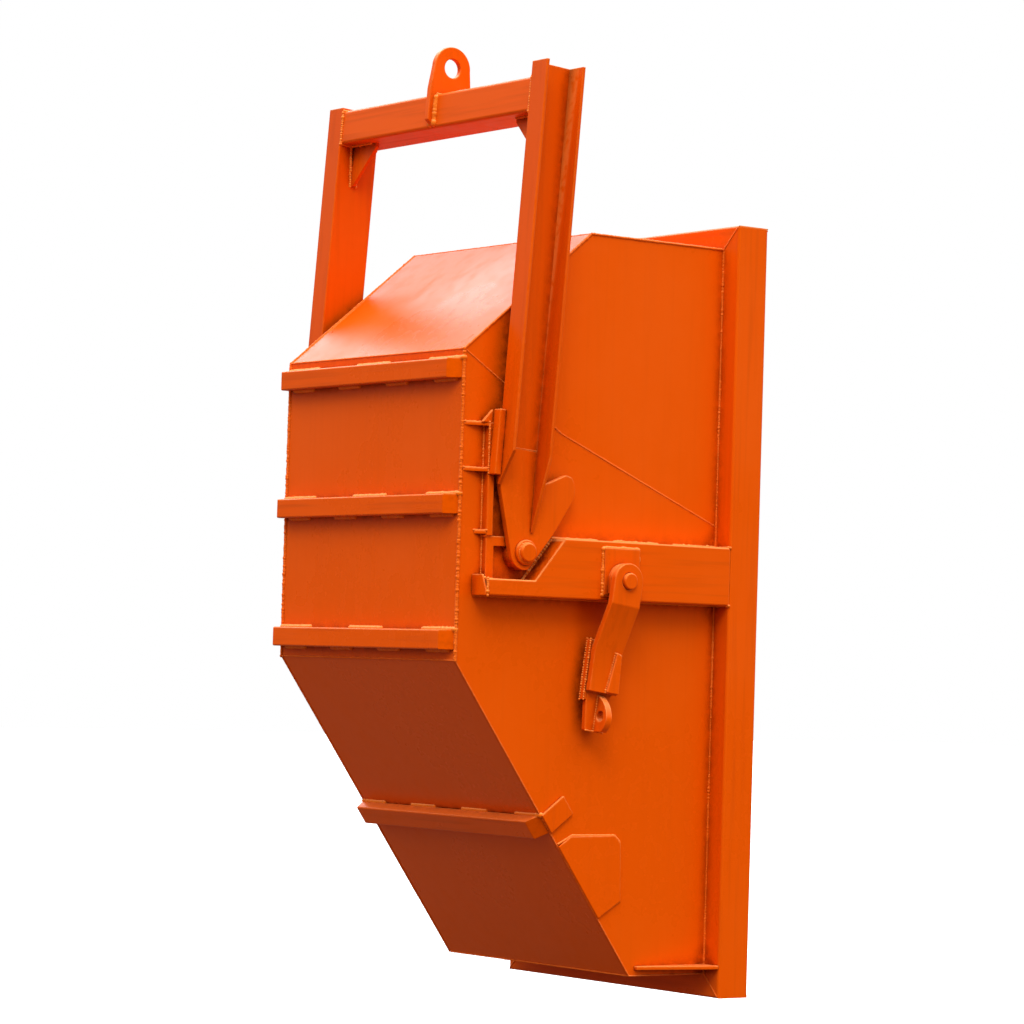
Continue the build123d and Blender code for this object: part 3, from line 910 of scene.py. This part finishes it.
@dataclass
class Shell(SubAssembly):
    """The plated box: side plates, sheets round the profile, doublers and their joints."""

    plate_corner: float = 2.2 * MM
    edge_corner: float = 2.0 * MM
    joint_leg: float = 3.4 * MM
    back_leg: float = 4.4 * MM
    seam_leg: float = 2.3 * MM
    foot_leg: float = 2.0 * MM
    doubler_leg: float = 3.2 * MM
    seam_knee: Span = (0.0973, -0.9573)
    seam_mouth_z: float = -1.2093
    doubler_outline: tuple[Span, ...] = (
        (0.01, 0.90), (0.22, 1.0), (0.89, 1.0), (0.98, 0.92), (1.0, 0.20), (0.67, 0.02))
    sheets: tuple[str, ...] = (
        "back_plate", "top_plate", "top_slope_plate", "lower_slope_plate", "bottom_plate",
        "right_side_plate_upper", "right_side_plate_lower",
        "left_side_plate_upper", "left_side_plate_lower",
    )

    def profile(self) -> list[Span]:
        """The box's side view.

        Returns:
            Its corners as (y, z), from the top of the mouth round to its foot.
        """
        back_low, back_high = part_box("back_plate")
        _, top_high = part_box("top_slope_plate")
        foot_low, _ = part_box("lower_slope_plate")
        foot_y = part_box("bottom_plate")[0].y
        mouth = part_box("flange_top_tube")[0].y
        return [
            (mouth, top_high.z),
            (top_high.y, top_high.z),
            (back_low.y, back_high.z),
            (back_low.y, back_low.z),
            (foot_y, foot_low.z),
            (mouth, foot_low.z),
        ]

    def build(self) -> None:
        """Dress the plates and lay the joints."""
        for node in self.sheets:
            self.shop.soften(node, self.finishes.plate, self.plate_corner)
        self.shop.soften("doublers", self.finishes.plate, self.edge_corner)
        self.shop.soften("bottom_gussets", self.finishes.fitting, self.edge_corner)
        _, side_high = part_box("right_side_plate_lower")
        half = side_high.x
        outline = self.profile()
        corner = Weld(tuple((half, y, z) for y, z in outline[:4]), self.joint_leg)
        upright = Weld(tuple((half, y, z) for y, z in outline[2:4]), self.back_leg)
        foot = Weld(tuple((half, y, z) for y, z in outline[3:]), self.foot_leg)
        seam = Weld((
            (half, *outline[2]), (half, *self.seam_knee), (half, side_high.y, self.seam_mouth_z),
        ), self.seam_leg)
        across = [
            Weld(((-half, y, z), (half, y, z)), self.seam_leg) for y, z in outline[1:-1]]
        self.beads.lay(
            "shell_welds", "hopper", [*on_both_sides([corner, upright, seam]), *across],
            self.finishes.seam, seed=3, ripple_pitch=0.0042, wobble=0.12, blob_growth=0.3,
            jitter=0.1)
        self.beads.lay(
            "doubler_welds", "hopper", on_both_sides([self._doubler_weld(half)]),
            self.finishes.weld, seed=7, ripple_pitch=0.004, wobble=0.08, blob_growth=0.1,
            jitter=0.04)
        self.beads.lay(
            "foot_welds", "hopper", on_both_sides([foot]), self.finishes.plate, seed=5,
            ripple_pitch=0.003, wobble=0.1, blob_growth=0.2, jitter=0.05)

    def _doubler_weld(self, half: float) -> Weld:
        """The thin weld round a doubler's outer sides.

        Args:
            half: half the shell's width.

        Returns:
            The run on the right side.
        """
        low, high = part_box("doublers")
        run, rise = high.y - low.y, high.z - low.z
        return Weld(tuple(
            (half, low.y + across * run, low.z + up * rise)
            for across, up in self.doubler_outline), self.doubler_leg)


@dataclass
class MouthFlange(SubAssembly):
    """The mitred square-tube frame round the mouth."""

    inner_corner: float = 0.6 * MM
    tube_corner: float = 7.0 * MM
    mitre_leg: float = 2.4 * MM
    mitre_stop: float = 6.0 * MM
    joint_leg: float = 2.8 * MM
    patch_leg: float = 3.8 * MM
    patch_length: float = 170.0 * MM
    patches: int = 6

    def build(self) -> None:
        """Dress the tubes and weld the mitres and the joint to the shell."""
        for name, outwards in (
            ("top", (0, 0, 1)), ("bottom", (0, 0, -1)), ("right", (1, 0, 0)), ("left", (-1, 0, 0)),
        ):
            finish = self.finishes.rib if outwards[2] else self.finishes.upright
            self.shop.soften(
                f"flange_{name}_tube", finish, self.inner_corner, self.tube_corner,
                Vector(outwards))
        out_low, out_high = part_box("flange_top_tube")
        foot_low, foot_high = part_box("flange_bottom_tube")
        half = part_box("right_side_plate_lower")[1].x
        back = out_low.y
        stop = self.mitre_stop
        mitres = [
            Weld(((half, y, inner_z), (out_high.x - stop, y, outer_z)), self.mitre_leg)
            for inner_z, outer_z in (
                (out_low.z, out_high.z - stop), (foot_high.z, foot_low.z + stop))
            for y in (back, out_high.y)]
        side_foot, side_top = (half, back, foot_high.z), (half, back, out_low.z)
        joint = [
            Weld((side_foot, side_top), self.joint_leg),
            *stitches(side_foot, side_top, self.patches, self.patch_length, self.patch_leg)]
        ends = [
            Weld(((-half, back, z), (half, back, z)), self.joint_leg)
            for z in (out_low.z, foot_high.z)]
        self.beads.lay(
            "flange_welds", "hopper", [*on_both_sides(mitres), *on_both_sides(joint), *ends],
            self.finishes.seam, seed=11, ripple_pitch=0.0042, wobble=0.2, blob_growth=0.3,
            jitter=0.1)


@dataclass
class Ribs(SubAssembly):
    """The ribs on the back and on the lower slope."""

    corner: float = 2.0 * MM
    long_corner: float = 4.5 * MM
    upper_stitch: float = 135.0 * MM
    lower_stitch: float = 85.0 * MM
    slope_stitch: float = 98.0 * MM
    lower_inset: float = 27.0 * MM
    leg: float = 7.5 * MM
    end_leg: float = 3.5 * MM

    def build(self) -> None:
        """Dress the ribs and lay the stitches above and below each."""
        welds = []
        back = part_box("back_plate")[0].y
        for name in ("back_rib_upper", "back_rib_middle", "back_rib_lower"):
            self.shop.soften(name, self.finishes.rib, self.corner, self.long_corner)
            low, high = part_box(name)
            inset = self.lower_inset
            welds += stitches(
                (low.x, back, high.z), (high.x, back, high.z), 3, self.upper_stitch, self.leg)
            welds += stitches(
                (low.x + inset, back, low.z), (high.x - inset, back, low.z), 4,
                self.lower_stitch, self.leg)
            welds.append(Weld(((high.x, back, low.z), (high.x, back, high.z)), self.end_leg))
        self.shop.soften("slope_rib", self.finishes.rib, self.corner, self.long_corner)
        self.shop.soften("slope_rib_returns", self.finishes.fitting, self.corner)
        low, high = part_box("slope_rib")
        root = self._slope_root()
        welds += stitches(
            (low.x, root, high.z), (high.x, root, high.z), 4, self.slope_stitch, self.leg)
        self.beads.lay(
            "rib_welds", "hopper", welds, self.finishes.weld, seed=23, ripple_pitch=0.005,
            wobble=0.08, blob_growth=0.15, jitter=0.04)

    @staticmethod
    def _slope_root() -> float:
        """Find where the slope rib's upper side meets the slope.

        Returns:
            That line's Y.
        """
        rib_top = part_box("slope_rib")[1].z
        low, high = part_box("lower_slope_plate")
        return low.y + (high.z - rib_top) / (high.z - low.z) * (high.y - low.y)


@dataclass
class SideFittings(SubAssembly):
    """Beam, pivot frame, stops, pin and lever boss on one side of the hopper."""

    side: Side = Side.RIGHT
    leg: float = 3.6 * MM
    thin: float = 0.7
    light: float = 0.8
    firm: float = 1.3
    heavy: float = 1.4
    broad: float = 1.5
    beam_stitch: float = 140.0 * MM
    beam_edge: float = 6.0 * MM
    frame_return: float = 24.0 * MM
    end_gap: float = 14.0 * MM
    post_start: float = 150.0 * MM

    def build(self) -> None:
        """Dress each fitting and lay its welds."""
        beam, plate, fitting = self.finishes.beam, self.finishes.plate, self.finishes.fitting
        for name, finish, corner in (
            ("side_beam", beam, 1.0),
            ("beam_slope_plate", plate, 0.6),
            ("pivot_frame", fitting, 2.5),
            ("stop_post", fitting, 2.5),
            ("stop_pad", fitting, 2.5),
            ("stop_gussets", fitting, 1.2),
            ("pivot_pin", fitting, 0.8),
            ("pin_collar", fitting, 0.8),
            ("lever_boss_plate", fitting, 1.5),
            ("lever_spacer", fitting, 1.5),
            ("lever_pin", fitting, 1.0),
        ):
            self.shop.soften(f"{self.side.word}_{name}", finish, corner * MM)
        welds = [
            *self._beam_stitches(), *self._runs(), self._pin_ring(), *self._gusset_welds()]
        self.beads.lay(
            f"{self.side.word}_beam_welds", "hopper",
            welds if self.side is Side.RIGHT else mirrored(welds), self.finishes.weld,
            seed=31 + self.side.value, ripple_pitch=0.0044, wobble=0.14, jitter=0.1)

    def _beam_stitches(self) -> list[Weld]:
        """The stitches along the right beam's top."""
        low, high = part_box("right_side_beam")
        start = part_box("right_beam_slope_plate")[1].y
        return stitches(
            (low.x, start, high.z), (low.x, high.y, high.z), 3, self.beam_stitch,
            self.broad * self.leg)

    def _runs(self) -> list[Weld]:
        """The plain runs round the right beam, pivot frame, stop post and lever boss.

        Returns:
            The runs, each with its own share of the leg.
        """
        beam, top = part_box("right_side_beam")
        slope, slope_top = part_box("right_beam_slope_plate")
        post, post_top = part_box("right_stop_post")
        frame, frame_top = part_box("right_pivot_frame")
        boss, boss_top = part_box("right_lever_boss_plate")
        gusset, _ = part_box("right_stop_gussets")
        wall, face, edge = beam.x, top.x, self.beam_edge
        runs = (
            (1.0, (wall, beam.y, beam.z), (wall, top.y, beam.z)),
            (self.broad, (wall, slope.y, slope.z), (wall, slope_top.y - edge, slope_top.z)),
            (self.thin, (wall, slope_top.y, slope_top.z), (face - edge, slope_top.y, slope_top.z)),
            (1.0, (wall, top.y, top.z), (face, top.y, top.z)),
            (1.0, (wall, top.y, beam.z), (face, top.y, beam.z)),
            (self.light, (wall, frame.y, frame.z), (wall, frame.y, frame_top.z)),
            (self.light, (frame_top.x, frame.y, frame.z),
             (frame_top.x, frame.y + self.frame_return, frame.z)),
            (self.light, (wall, post.y, post.z), (wall, post.y, post_top.z)),
            (self.light, (wall, post_top.y, post.z), (wall, post_top.y, post_top.z)),
            (self.thin, (post_top.x, post.y, gusset.z + self.post_start),
             (post_top.x, post.y, post_top.z)),
            (1.0, (wall, frame.y, frame_top.z), (frame_top.x, frame.y, frame_top.z)),
            (1.0, (face, beam.y, beam.z), (face, beam.y, frame.z)),
            (self.firm, (wall, beam.y, frame.z), (face - self.end_gap, beam.y, frame.z)),
            (self.heavy, (boss.x, boss.y, boss.z), (boss.x, boss.y, boss_top.z),
             (boss.x, boss_top.y, boss_top.z), (boss.x, boss_top.y, boss.z),
             (boss.x, boss.y, boss.z)),
        )
        return [Weld(tuple(points), share * self.leg) for share, *points in runs]

    def _pin_ring(self) -> Weld:
        """The run round the right pivot pin where it leaves its collar."""
        low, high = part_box("right_pivot_pin")
        middle = (low + high) / 2
        middle.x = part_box("right_pin_collar")[1].x
        return ring(middle, (high.z - low.z) / 2, self.thin * self.leg)

    def _gusset_welds(self) -> list[Weld]:
        """The runs on top of each of the right stop gussets.

        Returns:
            Two runs for each gusset, the lowest first.
        """
        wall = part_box("right_side_beam")[0].x
        post, post_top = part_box("right_stop_post")
        leg = self.light * self.leg
        welds = []
        for level, rear in self.shop.ledges("right_stop_gussets"):
            corner = (wall, post.y, level)
            welds += [
                Weld(((wall, rear, level), corner), leg),
                Weld((corner, (post_top.x, post.y, level)), leg)]
        return welds


@dataclass
class LiftingBail(SubAssembly):
    """The channel arms, crossbar, corner gussets and lug."""

    channel_corner: float = 4.0 * MM
    bar_corner: float = 1.0 * MM
    edge_corner: float = 1.2 * MM
    end_plate_corner: float = 1.8 * MM
    lug_corner: float = 2.0 * MM
    bar_depth: float = 116.0 * MM
    bar_height: float = 90.0 * MM
    lean: float = 4.0
    leg: float = 4.2 * MM
    lug_leg: float = 9.5 * MM
    lug_foot_run: tuple[Span, Span] = ((2.0 * MM, 20.0 * MM), (7.0 * MM, -10.0 * MM))
    lug_head_run: tuple[Span, Span] = ((10.0 * MM, 0.0), (-10.0 * MM, -8.0 * MM))
    gusset_reach: float = 95.0 * MM
    seat_leg: float = 2.0 * MM
    seat_sink: float = 0.6
    seat_height: float = 255.0 * MM
    seat_span: Span = (-0.095, 0.009)

    def build(self) -> None:
        """Dress the bail and lay its welds."""
        soften, finishes, lay = self.shop.soften, self.finishes, self.beads.lay
        for side in Side:
            soften(f"{side.word}_arm", finishes.arm, self.edge_corner, self.channel_corner)
            soften(f"{side.word}_arm_end_plate", finishes.fitting, self.end_plate_corner)
        soften("crossbar", finishes.rib, self.bar_corner)
        soften("corner_gussets", finishes.fitting, self.edge_corner)
        soften("lifting_lug", finishes.fitting, self.lug_corner)
        lay("bail_welds", "lifting_bail",
            on_both_sides([self._crossbar_ring(), *self._gusset_welds()]), finishes.weld, seed=47)
        lay("lug_welds", "lifting_bail", self._lug_welds(), finishes.weld, seed=53,
            ripple_pitch=0.0045, wobble=0.14, blob_growth=0.1, jitter=0.08)
        lay("seat_welds", "lifting_bail", on_both_sides([self._seat_weld()]), finishes.arm,
            seed=59, ripple_pitch=0.003, wobble=0.0, blob_growth=0.0, jitter=0.0)

    def _crossbar_ring(self) -> Weld:
        """The run round the crossbar's end, where it meets the arm's web."""
        low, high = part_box("crossbar")
        deep, tall = self.bar_depth / 2, self.bar_height / 2
        return Weld(tuple(
            leaning(low, high, self.lean, high.x, across * deep, up * tall)
            for across, up in ((-1, -1), (1, -1), (1, 1), (-1, 1), (-1, -1))), self.leg)

    def _seat_weld(self) -> Weld:
        """Ground-flush run that fills the joint between the arm's web and its end plate."""
        low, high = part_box("right_pivot_pin")
        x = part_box("right_arm_end_plate")[1].x - self.seat_sink * self.seat_leg
        return Weld(tuple(
            leaning(low, high, self.lean, x, across, self.seat_height)
            for across in self.seat_span), self.seat_leg)

    def _gusset_welds(self) -> list[Weld]:
        """Both faces of the corner gusset, up the arm and along the crossbar."""
        low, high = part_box("corner_gussets")
        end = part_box("crossbar")[1].x
        return [
            Weld(((end, y, low.z), (end, y, high.z), (end - self.gusset_reach, y, high.z)),
                 self.leg)
            for y in (low.y, high.y)]

    def _lug_welds(self) -> list[Weld]:
        """Heavy fillets on both sides of the lug's leg, and lighter ones under its head.

        Returns:
            Two runs for each side.
        """
        bar_low, bar_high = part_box("crossbar")
        (foot_y, foot_z), (knee_y, knee_z) = self.lug_foot_run
        (head_y, head_z), (tip_y, tip_z) = self.lug_head_run
        welds = []
        for x in (corner.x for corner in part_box("lifting_lug")):
            welds += [
                Weld(((x, bar_low.y + foot_y, bar_low.z + foot_z),
                      (x, bar_low.y + knee_y, bar_high.z + knee_z)), self.lug_leg),
                Weld(((x, bar_low.y + head_y, bar_high.z + head_z),
                      (x, bar_high.y + tip_y, bar_high.z + tip_z)), self.leg)]
        return welds


@dataclass
class LatchLever(SubAssembly):
    """One cranked lever with its tail, stiffeners and eye lug."""

    side: Side = Side.RIGHT
    leg: float = 2.6 * MM
    edge_corner: float = 2.2 * MM
    lean: float = 8.0
    bend_angle: float = math.radians(17)
    strip_thick: float = 8.0 * MM
    strip_edge: tuple[Span, ...] = (
        (0.005, -0.283), (0.021, -0.180), (0.038, -0.184), (0.043, -0.283), (0.005, -0.283))
    tail_bar: tuple[Span, Span] = ((-0.050, -0.155), (-0.048, -0.309))
    lever_foot: tuple[Span, Span] = ((-0.038, -0.286), (0.038, -0.286))
    tail_middle: tuple[Span, Span] = ((-0.003, -0.296), (-0.003, -0.384))
    tail_foot: tuple[Span, Span] = ((-0.027, -0.384), (0.027, -0.384))

    def build(self) -> None:
        """Dress the lever's pieces and lay its welds."""
        for name in ("latch_lever", "lever_tail", "lever_stiffeners", "lever_lug"):
            self.shop.soften(
                f"{self.side.word}_{name}", self.finishes.fitting, self.edge_corner,
                corner_angle=self.bend_angle)
        welds = self._welds()
        self.beads.lay(
            f"{self.side.word}_lever_welds", f"{self.side.word}_lever",
            welds if self.side is Side.RIGHT else mirrored(welds), self.finishes.weld,
            seed=61 + self.side.value)

    def _welds(self) -> list[Weld]:
        """Runs along the tail's bar, round the strip and across the right lever's lower end.

        Returns:
            The runs, which are given in the lever's own leaning frame, measured from its pin.
        """
        low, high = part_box("right_lever_pin")
        tail_low, tail_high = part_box("right_lever_tail")
        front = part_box("right_lever_stiffeners")[1].x - self.strip_thick
        return [
            Weld(tuple(leaning(low, high, self.lean, x, *spot) for spot in run), self.leg)
            for x, run in (
                (tail_high.x, self.tail_bar),
                (tail_low.x, self.tail_bar),
                (front, self.strip_edge),
                (tail_high.x, self.lever_foot),
                (tail_high.x, self.tail_middle),
                (tail_high.x, self.tail_foot),
            )]


# ---- studio ----
@dataclass(frozen=True)
class Softbox:
    """A round soft lamp, its power in watts."""

    name: str
    place: Point
    size: float
    power: float
    tint: Point = (1.0, 1.0, 1.0)


@dataclass
class Studio:
    """Floor, soft light and camera."""

    camera_place: Point = (7.58605, -5.41027, -1.54978)
    camera_azimuth: float = 53.316
    camera_elevation: float = -2.473
    camera_roll: float = 1.747
    lens: float = 126.76
    sensor: float = 36.0
    far_clip: float = 200.0
    floor_drop: float = 0.30
    floor_half: float = 40.0
    floor_pale: Colour = (0.90, 0.90, 0.90, 1.0)
    floor_dark: Colour = (0.13, 0.085, 0.055, 1.0)
    sky_ramp: tuple[Span, ...] = ((0.0, 0.018), (0.30, 0.15), (0.60, 0.46), (1.0, 1.0))
    sky_blue: float = 1.02
    cloud_scale: float = 2.3
    cloud_detail: float = 4.0
    cloud_gain: float = 5.2
    sky_strength: float = 1.1
    aim: Point = (0.0, 0.1, -1.4)
    softboxes: tuple[Softbox, ...] = (
        Softbox("key_softbox", (7.2, -5.4, 7.6), 5.0, 500.0),
        Softbox("side_softbox", (10.0, 3.5, 0.0), 4.0, 90.0),
        Softbox("far_softbox", (-5.4, 0.9, 2.8), 3.0, 50.0, (0.76, 0.90, 1.0)),
    )

    def build(self) -> None:
        """Make the floor, the lights, the sky and the camera."""
        self._floor()
        self._sky()
        self._lamps()
        self._camera()
        scene = bpy.context.scene
        scene.view_settings.view_transform = "Standard"
        scene.view_settings.look = "None"

    def _floor(self) -> None:
        """A wide pale floor below the hanging hopper."""
        shape = bmesh.new()
        bmesh.ops.create_grid(shape, x_segments=8, y_segments=8, size=self.floor_half)
        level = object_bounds()[0].z - self.floor_drop
        bmesh.ops.translate(shape, verts=shape.verts, vec=(0, 0, level))
        mesh = bpy.data.meshes.new("floor")
        shape.to_mesh(mesh)
        shape.free()
        mesh.materials.append(self._floor_finish())
        put_in_scene("floor", mesh)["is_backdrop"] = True

    @staticmethod
    def _show_pale(
        wires: Wiring, plain: bpy.types.Node, pale: bpy.types.Node, output: str,
    ) -> None:
        """Show one shader to the camera and another to the light that bounces.

        Args:
            wires: the material's or the world's wiring.
            plain: the shader that light meets.
            pale: the shader that the camera sees.
            output: the output node's type.
        """
        seen = wires.node("ShaderNodeLightPath")
        choose = wires.node("ShaderNodeMixShader")
        wires.link(seen.outputs["Is Camera Ray"], choose.inputs["Fac"])
        wires.link(plain.outputs[0], choose.inputs[1])
        wires.link(pale.outputs[0], choose.inputs[2])
        wires.link(choose.outputs["Shader"], wires.node(output).inputs["Surface"])

    def _floor_finish(self) -> Material:
        """Pale and matt to look at, but dark to the light that it would throw back up.

        Returns:
            The floor's material.
        """
        material = bpy.data.materials.new("pale_floor")
        material.use_nodes = True
        wires = Wiring(material.node_tree)
        wires.tree.nodes.clear()
        shaders = []
        for colour in (self.floor_dark, self.floor_pale):
            shader = wires.node("ShaderNodeBsdfDiffuse")
            shader.inputs["Color"].default_value = colour
            shaders.append(shader)
        self._show_pale(wires, *shaders, "ShaderNodeOutputMaterial")
        return material

    def _sky(self) -> None:
        """An overcast sky, bright overhead and dim below the horizon, pale to the camera."""
        world = bpy.data.worlds.new("overcast")
        bpy.context.scene.world = world
        world.use_nodes = True
        wires = Wiring(world.node_tree)
        wires.tree.nodes.clear()
        way = wires.node("ShaderNodeTexCoord").outputs["Generated"]
        clouds = wires.noise(way, self.cloud_scale, self.cloud_detail)
        drift = wires.math("MULTIPLY_ADD", clouds, self.cloud_gain)
        drift.node.inputs[2].default_value = self.sky_strength
        ramp = wires.node("ShaderNodeValToRGB")
        wires.link(wires.height_of(way), ramp.inputs["Fac"])
        stops = ramp.color_ramp.elements
        for height, _ in self.sky_ramp[1:-1]:
            stops.new(height)
        for stop, (_, grey) in zip(stops, self.sky_ramp):
            stop.color = (grey, grey, min(1.0, grey * self.sky_blue), 1.0)
        sky = wires.node("ShaderNodeBackground")
        wires.link(ramp.outputs["Color"], sky.inputs["Color"])
        wires.link(drift, sky.inputs["Strength"])
        pale = wires.node("ShaderNodeBackground")
        pale.inputs["Color"].default_value = (1.0, 1.0, 1.0, 1.0)
        self._show_pale(wires, sky, pale, "ShaderNodeOutputWorld")

    def _lamps(self) -> None:
        """Two softboxes on the right, and one on the far side that the top slope mirrors."""
        for box in self.softboxes:
            light = bpy.data.lights.new(box.name, "AREA")
            light.color = box.tint
            light.shape = "DISK"
            light.size = box.size
            light.energy = box.power
            lamp = put_in_scene(box.name, light)
            lamp.location = box.place
            way = Vector(self.aim) - Vector(box.place)
            lamp.rotation_euler = way.to_track_quat("-Z", "Y").to_euler()

    def _camera(self) -> None:
        """A long lens from behind and to the right, a little below the hopper's middle."""
        turn, tilt, roll = (
            math.radians(v) for v in (self.camera_azimuth, self.camera_elevation, self.camera_roll))
        level = math.cos(tilt)
        back = Vector((math.sin(turn) * level, -math.cos(turn) * level, math.sin(tilt)))
        right = Vector((math.cos(turn), math.sin(turn), 0.0))
        up = back.cross(right)
        rolled_right = right * math.cos(roll) + up * math.sin(roll)
        rolled_up = up * math.cos(roll) - right * math.sin(roll)
        data = bpy.data.cameras.new("camera")
        data.lens = self.lens
        data.sensor_width = self.sensor
        data.clip_end = self.far_clip
        camera = put_in_scene("camera", data)
        turned = Matrix((rolled_right, rolled_up, back)).transposed().to_4x4()
        camera.matrix_world = Matrix.Translation(Vector(self.camera_place)) @ turned
        bpy.context.scene.camera = camera


def main() -> None:
    """Load the frame, build every sub-assembly around it, then the studio."""
    logging.basicConfig(level=logging.INFO, format="%(name)s: %(message)s")
    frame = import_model()
    shop = Workshop(frame)
    finishes = Finishes()
    beads = BeadTree()
    Shell(shop, finishes, beads).build()
    MouthFlange(shop, finishes, beads).build()
    Ribs(shop, finishes, beads).build()
    for side in Side:
        SideFittings(shop, finishes, beads, side).build()
        LatchLever(shop, finishes, beads, side).build()
    for node in ("pivot_bosses", "beam_end_plates"):
        shop.soften(node, finishes.fitting, 1.5 * MM)
    LiftingBail(shop, finishes, beads).build()
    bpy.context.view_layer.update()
    Studio().build()


if __name__ == "__main__":
    main()
